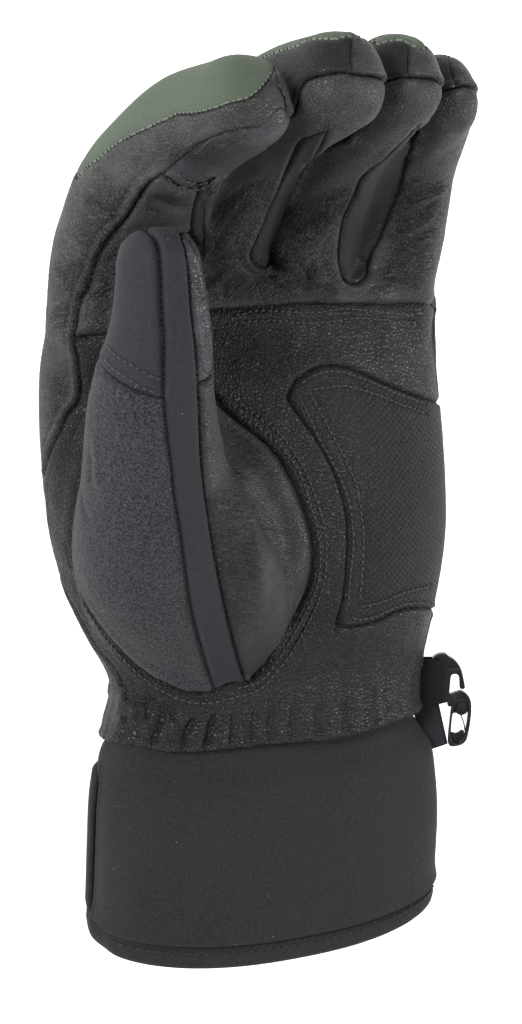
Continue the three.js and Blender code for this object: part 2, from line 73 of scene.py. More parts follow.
# Sections: centre x, y, z, half width, depth to the palm side and to the back.
HAND = [(9, 60, MID, 50.4, 22, 24.4), (9.2, 72, MID, 49.6, 21.6, 24.4), (10.8, 84, MID, 49, 20.4, 24.5),
        (8.7, 98, MID, 54.5, 23, 25), (5.5, 124, MID, 61.7, 25.5, 25), (3, 150, MID, 62.5, 24.5, 25),
        (1.5, 172, 25, 61.5, 22, 25), (2, 188, 26.5, 60, 20, 21), (2, 196, 28, 58.5, 17.5, 15),
        (2, 200, 28.5, 55, 13, 10)]
CUFF = [(9, 17.6, 25, 55, 24.5, 25.5), (9.6, 34, 25, 54.9, 24.5, 25.5), (9.7, 48, 25, 54.3, 24, 25.5),
        (10.1, 57.5, 24.8, 53.4, 22, 24.2), (9.1, 63, 24.6, 51.1, 19, 22.4), (8.5, 68, 24.3, 48.4, 17.5, 21),
        (8.5, 76, 24, 45.6, 16.9, 20.6)]
INDEX = [(-42, 162, 25, 12, 12, 12), (-43.5, 180, 26.5, 15.2, 18, 14), (-43.7, 199, 31, 15.4, 18.5, 15.2),
         (-44.7, 215, 41, 15, 16.5, 16), (-44, 227.5, 57, 14.6, 13.2, 16), (-41.3, 237, 75, 13.8, 11.2, 15.6),
         (-37.6, 242.6, 90, 12.8, 10, 13.8)]
MIDDLE = [(-12, 164, 25, 10, 11, 11), (-12.6, 182, 26, 13.4, 15.5, 15), (-13.3, 202, 32, 13.6, 15, 15),
          (-14.4, 221, 43, 13.6, 14.5, 16.5), (-14.4, 236, 58, 13.2, 14, 17),
          (-12.5, 245, 76, 12.7, 13.5, 15.2), (-9.9, 249.8, 92, 11.8, 12.5, 13)]
RING = [(17, 164, 25, 10, 11, 11), (16.3, 182, 26, 14, 15, 14.8), (15.9, 202, 32, 14, 14.5, 14.5),
        (15.2, 220, 42, 13.4, 14, 15), (14, 235, 56, 12.8, 13.5, 14.5), (14.5, 245, 70, 12.1, 13, 13.5),
        (15.0, 250, 81, 11.2, 12, 12.5)]
LITTLE = [(44, 160, 25, 10, 11, 11), (46, 178, 26, 13.4, 14.5, 14.5), (45.4, 196, 30, 13.2, 14, 14),
          (44, 214, 38, 13, 13.5, 13.5), (40.8, 230, 50, 12, 13, 13), (38.7, 240.5, 61, 10.7, 12.3, 13),
          (36.4, 246.5, 71, 9.2, 11.5, 12)]
THUMB = [(-12, 76, 26, 17, 7, 14), (-17, 90, 31, 22, 10, 16), (-24.2, 106, 41.5, 26.6, 14, 20),
         (-35.2, 125, 47.5, 26, 17.5, 20), (-42.5, 146, 54.3, 19.9, 17.5, 18),
         (-46.7, 168, 61, 16.2, 15.5, 15), (-47.6, 188, 67.8, 12.8, 12.5, 11.5),
         (-49.9, 203, 71, 10.5, 9.5, 8.5)]
THUMB_LEAN = math.radians(30)


# Camera geometry.
def camera_axes():
    toward = np.array([-math.sin(VIEW_TURN) * math.cos(VIEW_TILT), math.sin(VIEW_TILT),
                       math.cos(VIEW_TURN) * math.cos(VIEW_TILT)])
    right = np.cross([0, 1, 0], toward)
    right /= np.linalg.norm(right)
    return toward, right, np.cross(toward, right)


TOWARD, RIGHT, UP = camera_axes()
FOCAL = VIEW_DISTANCE / MM_PER_PIXEL
EYE = (VIEW_TARGET + VIEW_DISTANCE * TOWARD - RIGHT * (TARGET_PIXEL[0] - PICTURE[0] / 2) * MM_PER_PIXEL
       + UP * (TARGET_PIXEL[1] - PICTURE[1] / 2) * MM_PER_PIXEL)


def to_pixels(points):
    """Where model points land in the picture."""
    off = np.asarray(points) - EYE
    depth = -(off @ TOWARD)
    across = PICTURE[0] / 2 + FOCAL * (off @ RIGHT) / depth
    down = PICTURE[1] / 2 - FOCAL * (off @ UP) / depth
    return np.stack([across, down], -1)


def sight(pixel):
    """The direction from the eye through a pixel of the picture."""
    ray = RIGHT * (pixel[0] - PICTURE[0] / 2) - UP * (pixel[1] - PICTURE[1] / 2) - TOWARD * FOCAL
    return ray / np.linalg.norm(ray)


# Limbs.
def smooth(t):
    t = np.clip(t, 0, 1)
    return t * t * (3 - 2 * t)


def span(t, a, b, c, d):
    """The smooth curve from b to c that comes from a and goes on to d."""
    bend = 2 * a - 5 * b + 4 * c - d
    return b + 0.5 * t * (c - a + bend * t + (-a + 3 * b - 3 * c + d) * t * t)


def unit(vectors, least=0.0):
    """The same vectors at length one; least keeps an empty one from dividing by zero."""
    return vectors / np.linalg.norm(vectors, axis=1).clip(least)[:, None]


class Limb:
    """A tapering body through a table of sections."""

    def __init__(self, rows, side=(1, 0, 0), straight=False):
        self.rows = np.array(rows, float)
        self.side = np.array(side, float)
        self.straight = straight
        self.stations = np.linspace(0, 1, 161)
        self.spine = self.frame(self.stations)
        self.length = np.linalg.norm(np.diff(self.spine["at"], axis=0), axis=1).sum()

    def row(self, u):
        last = len(self.rows) - 1
        place = np.clip(u, 0, 1) * last
        i = np.minimum(place.astype(int), last - 1)
        t = (place - i)[:, None]
        return span(t, *(self.rows[np.clip(i + k, 0, last)] for k in (-1, 0, 1, 2)))

    def frame(self, u):
        u = np.atleast_1d(np.asarray(u, float))
        row = self.row(u)
        along = np.tile([0.0, 1.0, 0.0], (len(u), 1))
        if not self.straight:
            along = (self.row(u + 0.02) - self.row(u - 0.02))[:, :3]
            along /= np.linalg.norm(along, axis=1)[:, None]
        side = self.side - along * (along @ self.side)[:, None]
        side /= np.linalg.norm(side, axis=1)[:, None]
        return {"at": row[:, :3], "along": along, "side": side, "front": np.cross(side, along),
                "w": row[:, 3], "p": row[:, 4], "b": row[:, 5]}

    def points(self, u, degrees, out=0.0, shrink=1.0, push=0.0):
        """Points of the section's superellipse at angles, moved out, shrunk, and pushed on along the limb."""
        f = self.frame(u)
        angle = np.radians(degrees)
        c, s = np.cos(angle), np.sin(angle)
        depth = np.where(s > 0, f["p"], f["b"])
        across = np.sign(c) * np.abs(c) ** (2 / ROUNDNESS) * (f["w"] * shrink + out)
        lift = np.sign(s) * np.abs(s) ** (2 / ROUNDNESS) * (depth * shrink + out)
        middle = f["at"] + f["along"] * np.reshape(push, (-1, 1))
        return middle + f["side"] * across[:, None] + f["front"] * lift[:, None]

    def body(self, steps, sides, cap=0.0):
        """Closed mesh of rings; a cap adds a rounded end, as long as cap times the half width."""
        angles = np.arange(sides) * 360 / sides
        rings = [self.points(np.full(sides, u), angles) for u in np.linspace(0, 1, steps)]
        if cap:
            reach = self.frame(1)["w"][0] * cap
            for k in np.sin(np.linspace(0, math.pi / 2, 10))[1:]:
                shrink = max(1 - k ** 2.4, 0.0) ** (1 / 2.4)
                rings.append(self.points(np.ones(sides), angles, shrink=max(shrink, 0.02), push=k * reach))
        return tube_faces(rings)

    def locate(self, points):
        """For each point: place along the limb, angle round it, and height over its surface."""
        spine = self.spine
        best = np.full(len(points), np.inf)
        index = np.zeros(len(points), int)
        for k, middle in enumerate(spine["at"]):
            gap = ((points - middle) ** 2).sum(1)
            closer = gap < best
            best[closer] = gap[closer]
            index[closer] = k
        off = points - spine["at"][index]
        ahead = (off * spine["along"][index]).sum(1)
        u = self.stations[index] + ahead / self.length
        x = (off * spine["side"][index]).sum(1)
        y = (off * spine["front"][index]).sum(1)
        w = spine["w"][index]
        depth = np.where(y > 0, spine["p"][index], spine["b"][index])
        over = np.where(index == len(self.stations) - 1, np.maximum(ahead, 0), 0.0)
        total = np.abs(x / w) ** ROUNDNESS + np.abs(y / depth) ** ROUNDNESS + (over / w) ** ROUNDNESS
        height = (total ** (1 / ROUNDNESS) - 1) * np.minimum(w, depth)
        angle = np.degrees(np.arctan2(np.sign(y) * np.abs(y / depth) ** (ROUNDNESS / 2),
                                      np.sign(x) * np.abs(x / w) ** (ROUNDNESS / 2)))
        return {"u": u, "angle": angle, "height": height, "x": x, "y": y, "depth": depth}


def tube_faces(rings):
    """Verts and faces of a tube through rings, with a fan over each end."""
    n = len(rings[0])
    points = np.concatenate([*rings, rings[0].mean(0)[None], rings[-1].mean(0)[None]])
    faces = []
    for i in range(len(rings) - 1):
        for j in range(n):
            k = (j + 1) % n
            faces.append((i * n + j, i * n + k, (i + 1) * n + k, (i + 1) * n + j))
    base = len(rings) * n
    for j in range(n):
        k = (j + 1) % n
        faces.append((base, k, j))
        faces.append((base + 1, base - n + j, base - n + k))
    return points, faces


LIMBS = {
    "hand": Limb(HAND, straight=True),
    "index": Limb(INDEX),
    "middle": Limb(MIDDLE),
    "ring": Limb(RING),
    "little": Limb(LITTLE),
    "thumb": Limb(THUMB, side=(math.cos(THUMB_LEAN), 0, math.sin(THUMB_LEAN))),
}
FINGER_NAMES = ("index", "middle", "ring", "little")


# Meshes.
def placed(name, data):
    """A new object in the scene."""
    thing = bpy.data.objects.new(name, data)
    bpy.context.scene.collection.objects.link(thing)
    return thing


def new_object(name, points, faces, smooth_shade=True):
    """A mesh object from model points in millimetres."""
    mesh = bpy.data.meshes.new(name)
    mesh.from_pydata(((np.asarray(points) - ORIGIN) / 1000).tolist(), [], faces)
    if smooth_shade:
        mesh.shade_smooth()
    mesh.update()
    return placed(name, mesh)


def merged(bodies):
    """Points and faces of many bodies as one."""
    points, faces, base = [], [], 0
    for verts, polys in bodies:
        points.append(verts)
        faces += [tuple(base + i for i in poly) for poly in polys]
        base += len(verts)
    return np.concatenate(points), faces


def fanned(faces):
    """The faces cut into triangles."""
    return [(f[0], f[i], f[i + 1]) for f in faces for i in range(1, len(f) - 1)]


def evaluated(thing):
    """Points in model millimetres and polygons of an object with its modifiers applied."""
    view = thing.evaluated_get(bpy.context.evaluated_depsgraph_get())
    mesh = view.to_mesh()
    points = np.empty(len(mesh.vertices) * 3)
    mesh.vertices.foreach_get("co", points)
    mesh.calc_loop_triangles()
    triangles = np.empty(len(mesh.loop_triangles) * 3, int)
    mesh.loop_triangles.foreach_get("vertices", triangles)
    view.to_mesh_clear()
    return points.reshape(-1, 3) * 1000 + ORIGIN, triangles.reshape(-1, 3)


def steady(place, depths):
    """A smooth line through depths that jump where a finger hides the surface."""
    depths = np.array(depths, float)
    good = np.isfinite(depths)
    for _ in range(4):
        fit = np.polyfit(place[good], depths[good], 2)
        off = np.abs(np.polyval(fit, place) - np.nan_to_num(depths, nan=1e6))
        good = off < max(1.0, 1.5 * np.median(off[good]))
    return np.polyval(fit, place)


def channel_floor(surface, shape):
    """Body whose front is a rounded trough between the surfaces seen left and right of a line."""
    line = curve(shape["line"], CHANNEL_RINGS)
    place = np.linspace(0, 1, CHANNEL_RINGS)
    half = np.interp(place, np.linspace(0, 1, len(shape["half"])), shape["half"])
    along = unit(np.gradient(line, axis=0))
    right = np.stack([along[:, 1], -along[:, 0]], 1)
    banks = []
    for side in (-1, 1):
        depths = []
        for pixel in line + right * (side * (half + shape["beside"][side > 0]))[:, None]:
            spot, _ = surface.hit(pixel)
            depths.append(np.nan if spot is None else (EYE - spot) @ TOWARD)
        banks.append(steady(place, depths))
    across = np.linspace(-1.6, 0.6 + shape["reach"], 29)
    level = np.clip(across, -1, 1)
    beyond = np.maximum(-across - 1, 0) + np.maximum(across - shape["reach"], 0)
    rings = []
    for k in range(CHANNEL_RINGS):
        bank = banks[0][k] * (1 - level) / 2 + banks[1][k] * (1 + level) / 2
        trough = shape["deep"] * smooth((1 - place[k]) / 0.12) * (1 - level ** 2) ** 0.7 * (1 - 0.6 * level)
        away = 2.5 * beyond * half[k] * MM_PER_PIXEL
        rays = np.array([sight(line[k] + right[k] * step * half[k]) for step in across])
        depth = bank + 0.5 + trough + away
        front, behind = (EYE + rays * ((depth + more) / -(rays @ TOWARD))[:, None]
                         for more in (0, CHANNEL_BACK))
        rings.append(np.concatenate([front, behind[::-1]]))
    return tube_faces(rings)


def union_skin():
    """One closed skin round all the limbs and the walls between the fingers."""
    bodies = []
    for name, limb in LIMBS.items():
        if name == "hand":
            bodies.append(limb.body(*HAND_MESH))
        else:
            bodies.append(limb.body(*FINGER_MESH, cap=THUMB_CAP if name == "thumb" else FINGER_CAP))
    for shape in (*FILLINGS, *CHANNELS.values()):
        points, faces = merged(bodies)
        bodies.append(channel_floor(Surface(points, fanned(faces)), shape))
    rough = new_object("rough", *merged(bodies))
    remesh = rough.modifiers.new("remesh", "REMESH")
    remesh.mode = "VOXEL"
    remesh.voxel_size = VOXEL / 1000
    verts, triangles = evaluated(rough)
    mesh = rough.data
    bpy.data.objects.remove(rough)
    bpy.data.meshes.remove(mesh)
    return verts, triangles


def edges_of(triangles):
    """Each edge once, as a sorted pair of points."""
    pairs = np.concatenate([triangles[:, pair] for pair in ([0, 1], [1, 2], [2, 0])])
    return np.unique(np.sort(pairs, axis=1), axis=0)


def neighbour_sum(values, pairs):
    """For each point the sum of the values at its neighbours."""
    return (np.bincount(pairs[:, 0], values[pairs[:, 1]], len(values))
            + np.bincount(pairs[:, 1], values[pairs[:, 0]], len(values)))


def relax(points, triangles, weight, rounds):
    """Laplacian smoothing, as much as weight says at each point."""
    pairs = edges_of(triangles)
    count = np.bincount(pairs.ravel(), minlength=len(points)).clip(1)
    points = points.copy()
    step = (weight / count)[:, None]
    for _ in range(rounds):
        total = np.stack([neighbour_sum(points[:, axis], pairs) for axis in range(3)], 1)
        points += step * (total - count[:, None] * points)
    return points


def spread(values, triangles, rounds):
    """Spreads values over neighbouring points."""
    pairs = edges_of(triangles)
    count = np.bincount(pairs.ravel(), minlength=len(values)).clip(1)
    for _ in range(rounds):
        values = 0.5 * values + 0.5 * neighbour_sum(values, pairs) / count
    return values


def normals_of(points, triangles):
    a, b, c = (points[triangles[:, k]] for k in range(3))
    face = np.cross(b - a, c - a)
    out = np.zeros_like(points)
    for k in range(3):
        for axis in range(3):
            out[:, axis] += np.bincount(triangles[:, k], face[:, axis], len(points))
    return unit(out, 1e-9)


# Lines traced on the picture, in its pixels.
GREEN_EDGE = [(54, 286), (58, 259), (62, 240), (67, 211), (71, 192), (81, 173), (97, 160), (116, 144),
              (137, 133), (162, 121), (175, 114), (193, 113), (212, 109), (231, 102), (254, 96), (265, 83),
              (275, 69), (280, 60)]
PIPING = [(59, 437), (61, 425), (66, 415), (72, 404), (74, 384), (75, 358), (77, 336), (80, 320), (87, 307),
          (93, 289), (98, 273), (100, 259), (105, 247), (115, 235), (127, 223), (137, 208), (147, 190),
          (154, 182), (164, 175), (176, 166), (187, 158), (202, 144), (222, 137), (245, 132), (268, 124),
          (288, 112)]
PAD_END = [(158, 168), (167, 178), (178, 187), (192, 190), (206, 186), (217, 177), (228, 164)]
STRIP_LEFT = [(120, 205), (144, 228), (153, 235), (158, 245), (160, 262), (161, 285), (162, 309),
              (164, 338), (164, 368), (164, 392), (165, 409), (168, 437), (172, 467), (175, 498),
              (180, 528), (190, 600), (199, 639), (214, 689)]
STRIP_RIGHT = [(176, 200), (180, 233), (186, 247), (190, 269), (193, 309), (197, 348), (199, 388), (200, 417),
               (202, 457), (206, 496), (214, 550), (225, 604), (236, 650), (244, 679)]
THUMB_HEM = [(90, 352), (98, 362), (109, 374), (125, 385), (141, 393), (157, 398), (166, 400)]
KEYHOLE = [(214, 690), (229, 684), (244, 680), (253, 680), (264, 671), (279, 650), (292, 629), (304, 604),
           (313, 580), (316, 556), (314, 536), (307, 511), (296, 484), (282, 458), (266, 441), (247, 426),
           (230, 412), (216, 400)]
THUMB_FOOT = [(95, 448), (82, 472), (73, 507), (70, 541), (73, 567), (80, 591), (93, 615), (110, 639),
              (128, 661), (151, 678), (177, 689), (195, 694), (214, 690)]
HEEL = [(296, 380), (309, 371), (324, 366), (342, 366), (357, 371), (373, 378), (390, 385), (407, 392),
        (425, 399), (620, 460), (620, 620), (440, 611), (421, 608), (405, 609), (392, 614), (378, 621),
        (364, 625), (350, 627), (337, 632), (340, 616), (345, 585), (348, 555), (348, 530), (345, 505),
        (337, 480), (323, 450), (308, 427), (294, 409), (281, 387)]
TIP_PALM = {
    "index": [(286, 116), (290, 108)],
    "middle": [(306, 89), (316, 81), (330, 77), (350, 74), (370, 72)],
    "ring": [(390, 85), (405, 77), (417, 76), (432, 81)],
    "little": [(447, 94), (455, 90), (465, 89)],
}
TIP_SEAM = {
    "index": [(277, 80), (286, 98), (287, 110)],
    "middle": [(351, 40), (351, 72)],
    "ring": [(408, 54), (407, 75)],
    "little": [(449, 60), (455, 87)],
}
# Channels between the fingers. In pixels: the outline of the panel in each, the line along its middle with
# half widths, and how far beside it left and right its level is measured. Then how many half widths the
# leather goes on to the right, and the trough's depth in millimetres.
CHANNELS = {
    "fourchette_1": {"outline": [(199, 190), (193, 215), (190, 240), (192, 256), (198, 263), (203, 250),
                                 (205, 215), (209, 188), (214, 178)],
                     "line": [(222, 158), (212, 180), (204, 202), (200, 228), (197, 255)],
                     "half": [13, 12, 11, 9, 8], "beside": (4, 6), "reach": 1.3, "deep": 0.4},
    "fourchette_2": {"outline": [(302, 139), (294, 151), (279, 189), (266, 215), (256, 241), (250, 254),
                                 (255, 265), (265, 267), (271, 256), (276, 241), (285, 215), (292, 194),
                                 (302, 176), (315, 155), (328, 131)],
                     "line": [(316, 133), (304, 155), (287, 190), (275.5, 215), (266, 241), (260.5, 258)],
                     "half": [11, 10, 8, 8.5, 9, 8], "beside": (4, 6), "reach": 1.1, "deep": 3.0},
    "fourchette_3": {"outline": [(385, 158), (362, 178), (356, 192), (346, 213), (341, 229), (339, 254),
                                 (341, 270), (345, 280), (355, 284), (365, 277), (368, 268), (371, 256),
                                 (379, 241), (386, 223), (394, 202), (400, 186), (405, 165), (412, 140),
                                 (419, 122)],
                     "line": [(405, 138), (391, 165), (380, 186), (368, 213), (359.5, 241), (355, 258),
                              (354, 274)], "half": [8, 12, 16, 18, 17, 14, 12], "beside": (4, 6),
                     "reach": 1.2, "deep": 4.2},
}
# Leather bridging the clefts beside the second channel and below the index finger, given like the channels.
FILLINGS = [
    {"line": [(340, 136), (326, 163), (312, 193), (302, 218), (294, 242)], "half": [11, 12, 13, 11, 9],
     "beside": (-27, 10), "reach": 1.4, "deep": 0.0},
    {"line": [(153, 176), (156, 205), (152, 236)], "half": [20, 22, 20], "beside": (4, 8), "reach": 1.0,
     "deep": -1.2},
]
BRIDGED = [(328, 128), (352, 122), (358, 140), (340, 175), (324, 206), (310, 236), (298, 262), (276, 276),
           (262, 276), (256, 262), (270, 235), (290, 190)]
# Ends of the back panel on the fingertips.
GREEN_ENDS = {
    "index": [(97, 160), (116, 144), (137, 133), (162, 121), (175, 114), (193, 113), (212, 109), (231, 102),
              (248, 98), (261, 88), (270, 76), (275, 66), (274, 58), (266, 50), (250, 36), (200, 36),
              (150, 60), (90, 120), (80, 160)],
    "middle": [(240, 66), (262, 56), (277, 51), (283, 49), (296, 46), (305, 39.5), (318, 37.7), (330, 37.5),
               (349, 37), (358, 36), (363, 33), (367, 26), (367, 6), (240, 6)],
    "ring": [(375, 44), (382, 42), (389, 40.5), (396, 39.5), (404, 43), (411.6, 47.3), (420, 49), (427, 49.5),
             (431, 46), (434, 20), (375, 16)],
    "little": [(434, 52), (440, 53.5), (446, 55.5), (452, 57), (457, 60), (462, 44), (434, 40)],
}
PALM_SEAM = [(-64, 182), (-54, 184), (-46, 185), (-20, 190), (9, 191), (51, 189), (64, 188)]
GATHER_LOW = [(104, 731), (121, 741), (143, 749), (171, 752), (214, 750), (268, 744), (340, 738), (415, 714)]


def curve(points, count=200):
    """A smooth line through points, evenly spaced."""
    points = np.asarray(points, float)
    ends = np.vstack([2 * points[0] - points[1], points, 2 * points[-1] - points[-2]])
    out = []
    for i in range(1, len(ends) - 2):
        t = np.linspace(0, 1, 12, endpoint=False)[:, None]
        out.append(span(t, *ends[i - 1:i + 3]))
    line = np.vstack([*out, points[-1:]])
    return even(line, count)


def reach_of(line):
    """How far along a line each of its points is."""
    return np.concatenate([[0], np.cumsum(np.linalg.norm(np.diff(line, axis=0), axis=1))])


def points_at(at, reach, line):
    """Values of a line, given at its points' reach, at other places along it."""
    return np.stack([np.interp(at, reach, line[:, k]) for k in range(line.shape[1])], 1)


def even(line, count):
    """The same line with evenly spaced points."""
    reach = reach_of(line)
    return points_at(np.linspace(0, reach[-1], count), reach, line)


def beside(points, line, closed=False):
    """Signed distance to a line in the plane: positive to the right of its direction on the page."""
    line = curve(line, 160)
    if closed:
        line = np.vstack([line, line[:1]])
    else:
        line = np.vstack([line[0] + (line[0] - line[3]) * 200, line, line[-1] + (line[-1] - line[-4]) * 200])
    best = np.full(len(points), np.inf)
    sign = np.ones(len(points))
    steep = np.zeros(len(points))
    for a, b in zip(line[:-1], line[1:]):
        run = b - a
        size = np.linalg.norm(run)
        if size == 0:
            continue
        off = points - a
        t = np.clip(off @ run / size ** 2, 0, 1)
        gap = np.linalg.norm(off - t[:, None] * run, axis=1)
        turn = (run[0] * off[:, 1] - run[1] * off[:, 0]) / size
        tie = np.abs(gap - best) < 1e-6
        better = (gap < best - 1e-6) | (tie & (np.abs(turn) > steep))
        best = np.where(better, gap, best)
        steep = np.where(better, np.abs(turn), steep)
        sign = np.where(better, np.where(turn > 0, 1.0, -1.0), sign)
    return best * sign


def zone(points, outline, margin=20.0):
    """Distance in millimetres inside a closed outline of pixels, which far outside is minus the margin."""
    low, high = np.min(outline, axis=0) - margin, np.max(outline, axis=0) + margin
    near = np.flatnonzero(((points > low) & (points < high)).all(1))
    inside = np.full(len(points), -margin)
    if len(near):
        after = np.roll(outline, -1, 0)
        turn = (np.array(outline)[:, 0] * after[:, 1] - after[:, 0] * np.array(outline)[:, 1]).sum()
        inside[near] = beside(points[near], outline, closed=True) * MM_PER_PIXEL * np.sign(turn)
    return inside


class Surface:
    """Rays and nearest points on a mesh given in model millimetres."""

    def __init__(self, points, triangles):
        self.tree = BVHTree.FromPolygons(points.tolist(), [tuple(t) for t in triangles])

    def hit(self, pixel):
        spot, normal, _, _ = self.tree.ray_cast(Vector(EYE), Vector(sight(pixel)))
        return (None, None) if spot is None else (np.array(spot), np.array(normal))

    def trace(self, line, count=120):
        """Points of the surface seen at the pixels of a line, with their normals."""
        hits = [self.hit(pixel) for pixel in curve(line, count)]
        found = [(spot, normal) for spot, normal in hits if spot is not None]
        return np.array([f[0] for f in found]), np.array([f[1] for f in found])


def limb_surface(name):
    """A finer mesh of one limb, for rays."""
    points, faces = LIMBS[name].body(80, 96, cap=0.0 if name == "hand" else FINGER_CAP)
    return Surface(points, fanned(faces))


def located(name, line):
    """Local coordinates of the points of a limb seen along a line."""
    return LIMBS[name].locate(limb_surface(name).trace(line)[0])


def traced_height(name, line, column):
    """For a line seen on a limb: a function of the place along it that gives a local coordinate."""
    place = located(name, line)
    keep = place["u"] < 1
    return level_line(place["u"][keep], place[column][keep])


def level_line(at, value, bins=14):
    """A smoothed line through scattered values, as a function."""
    edges = np.linspace(at.min(), at.max(), bins + 1)
    cell = np.clip(np.digitize(at, edges) - 1, 0, bins - 1)
    used = [k for k in range(bins) if (cell == k).any()]
    middles = [at[cell == k].mean() for k in used]
    values = [value[cell == k].mean() for k in used]
    return lambda where_to: np.interp(where_to, middles, values)


# The skin: every limb in one body, with soft hollows where the thumb leaves the palm.
def make_skin():
    points, triangles = union_skin()
    points = relax(points, triangles, np.full(len(points), RELAX_ALL[0]), RELAX_ALL[1])
    over_hand = LIMBS["hand"].locate(points)["height"]
    over_thumb = LIMBS["thumb"].locate(points)["height"]
    near = np.exp(-(np.maximum(over_hand, 0) ** 2 + np.maximum(over_thumb, 0) ** 2) / HOLLOW_FADE)
    facing = smooth((normals_of(points, triangles) @ TOWARD + 0.2) / 0.4) * smooth((points[:, 2] - 25) / 10)
    points = relax(points, triangles, RELAX_HOLLOWS[0] * near * facing, RELAX_HOLLOWS[1])
    return points + SWELL * normals_of(points, triangles), triangles


skin, skin_faces = make_skin()
normals = normals_of(skin, skin_faces)
seen = normals @ TOWARD
flat_view = to_pixels(skin)
x, y, z = skin.T
where = {name: limb.locate(skin) for name, limb in LIMBS.items()}


# How far over the surface the sight lines to the camera start.
SIGHT_LIFT = 0.8


def seen_by_camera(surface, points, outward, chosen):
    """Which of the chosen points of a surface nothing hides from the camera."""
    out = np.zeros(len(points), bool)
    for k in np.flatnonzero(chosen):
        start = points[k] + outward[k] * SIGHT_LIFT
        out[k] = surface.tree.ray_cast(Vector(start), Vector(EYE - start))[0] is None
    return out


skin_surface = Surface(skin, skin_faces)


# Fields: millimetres, positive inside the panel they name.
lowest = np.min([where[name]["height"] for name in ("hand", *FINGER_NAMES)], axis=0)
weights = {name: np.exp(-(place["height"] - lowest) ** 2 / 8) for name, place in where.items()}
body_sum = sum(weights[name] for name in ("hand", *FINGER_NAMES))

SIDE_BAND = 0.72
piping_height = traced_height("index", PIPING[13:], "y")
green_height = traced_height("index", GREEN_EDGE[3:], "y")
edge_spots, _ = limb_surface("hand").trace(PIPING[:12])
on_side = edge_spots[:, 0] < -48
# Height of the edge between palm and back on the thumb side, by place along the wrist.
WRIST_SIDE = {"y": [66, 74, 80, 92, 110, 128, 140], "z": [20, 18, 14, 12, 12.5, 15, 18]}
wrist_side = np.interp(y, WRIST_SIDE["y"], WRIST_SIDE["z"])
piping_z = level_line(np.append(edge_spots[on_side, 1], [136, 138, 140, 142]),
                      np.append(edge_spots[on_side, 2], [18, 18, 18, 18]))(y)
piping_z = np.where(y < 140, wrist_side, piping_z)

parting = 26 + 4 * (x + 90) / 180
front = smooth((y - 193) / 8) * smooth((62 - np.abs(x)) / 8)
radial = smooth((-x - 22) / 16)
hand_palm = z - ((parting * (1 - radial) + piping_z * radial) * (1 - front) + 38 * front)
hand_back = (parting * (1 - radial) + wrist_side * radial) * (1 - front) + 21 * front - z
palm_field = weights["hand"] * hand_palm
back_field = weights["hand"] * hand_back
for name in FINGER_NAMES:
    place = where[name]
    length = LIMBS[name].length
    tip_edge = located(name, TIP_PALM[name])["y"].mean()
    at_tip = smooth(((place["u"] - 1) * length + 7) / 8)
    palm_edge = SIDE_BAND * place["depth"] * (1 - at_tip) + tip_edge * at_tip
    back_edge = -SIDE_BAND * place["depth"]
    if name == "middle":
        inner = smooth((-place["x"] - 3) / 5) * smooth((place["u"] - 0.5) / 0.2)
        palm_edge = palm_edge * (1 - 0.5 * inner)
    if name == "little":
        outer = smooth((place["x"] + 2) / 6) * smooth((place["u"] - 0.3) / 0.2)
        palm_edge = palm_edge * (1 - outer) + 0.1 * place["depth"] * outer
    if name == "index":
        near = smooth((-place["x"] + 3) / 6)
        palm_edge = palm_edge * (1 - near) + piping_height(place["u"]) * near
        back_edge = back_edge * (1 - near) + green_height(place["u"]) * near
    palm_field = palm_field + weights[name] * (place["y"] - palm_edge)
    back_field = back_field + weights[name] * (back_edge - place["y"])
palm_field /= body_sum
back_field /= body_sum
heights = np.stack([where[name]["height"] for name in FINGER_NAMES])
nearest = heights.argmin(0)
to_camera = smooth((seen + 0.05) / 0.2)
for k, name in enumerate(FINGER_NAMES):
    green_side = zone(flat_view, GREEN_ENDS[name], 60.0)
    mask = smooth((green_side + 5) / 2.5) * to_camera * (nearest == k)
    if name == "index":
        mask *= smooth((flat_view[:, 0] - 150) / 30)
    else:
        in_sight = seen_by_camera(skin_surface, skin, normals, mask > 0)
        mask *= spread(in_sight.astype(float), skin_faces, 4)
    back_field = back_field * (1 - mask) + green_side * mask
# The ends of the back panel that the camera doesn't see are evened out.
hidden_end = np.zeros(len(skin))
for k, name in enumerate(FINGER_NAMES[1:], 1):
    hidden_end += (nearest == k) * smooth((where[name]["u"] - 0.6) / 0.15)
hidden_end = spread(hidden_end * smooth((0.4 - seen) / 0.4), skin_faces, 10)
back_field = back_field * (1 - hidden_end) + spread(back_field, skin_faces, 60) * hidden_end

thumb = where["thumb"]
lump = np.minimum(where["hand"]["height"], where["index"]["height"]) - thumb["height"]
outline = np.vstack([curve(KEYHOLE, 60), [(200, 392), (150, 405), (110, 430)], curve(THUMB_FOOT, 60)])
inside = beside(flat_view, outline[::3], closed=True) * MM_PER_PIXEL
if np.median(inside[np.linalg.norm(flat_view - (200, 550), axis=1) < 20]) < 0:
    inside = -inside
facing = smooth((seen + 0.1) / 0.3) * smooth((z - 20) / 6)
low = smooth((flat_view[:, 1] - 480) / 70)
seam = np.maximum(lump, inside) * (1 - low) + inside * low
fields = {"palm": palm_field, "back": back_field}
fields["thumb"] = seam * facing + np.minimum(lump, 30) * (1 - facing)

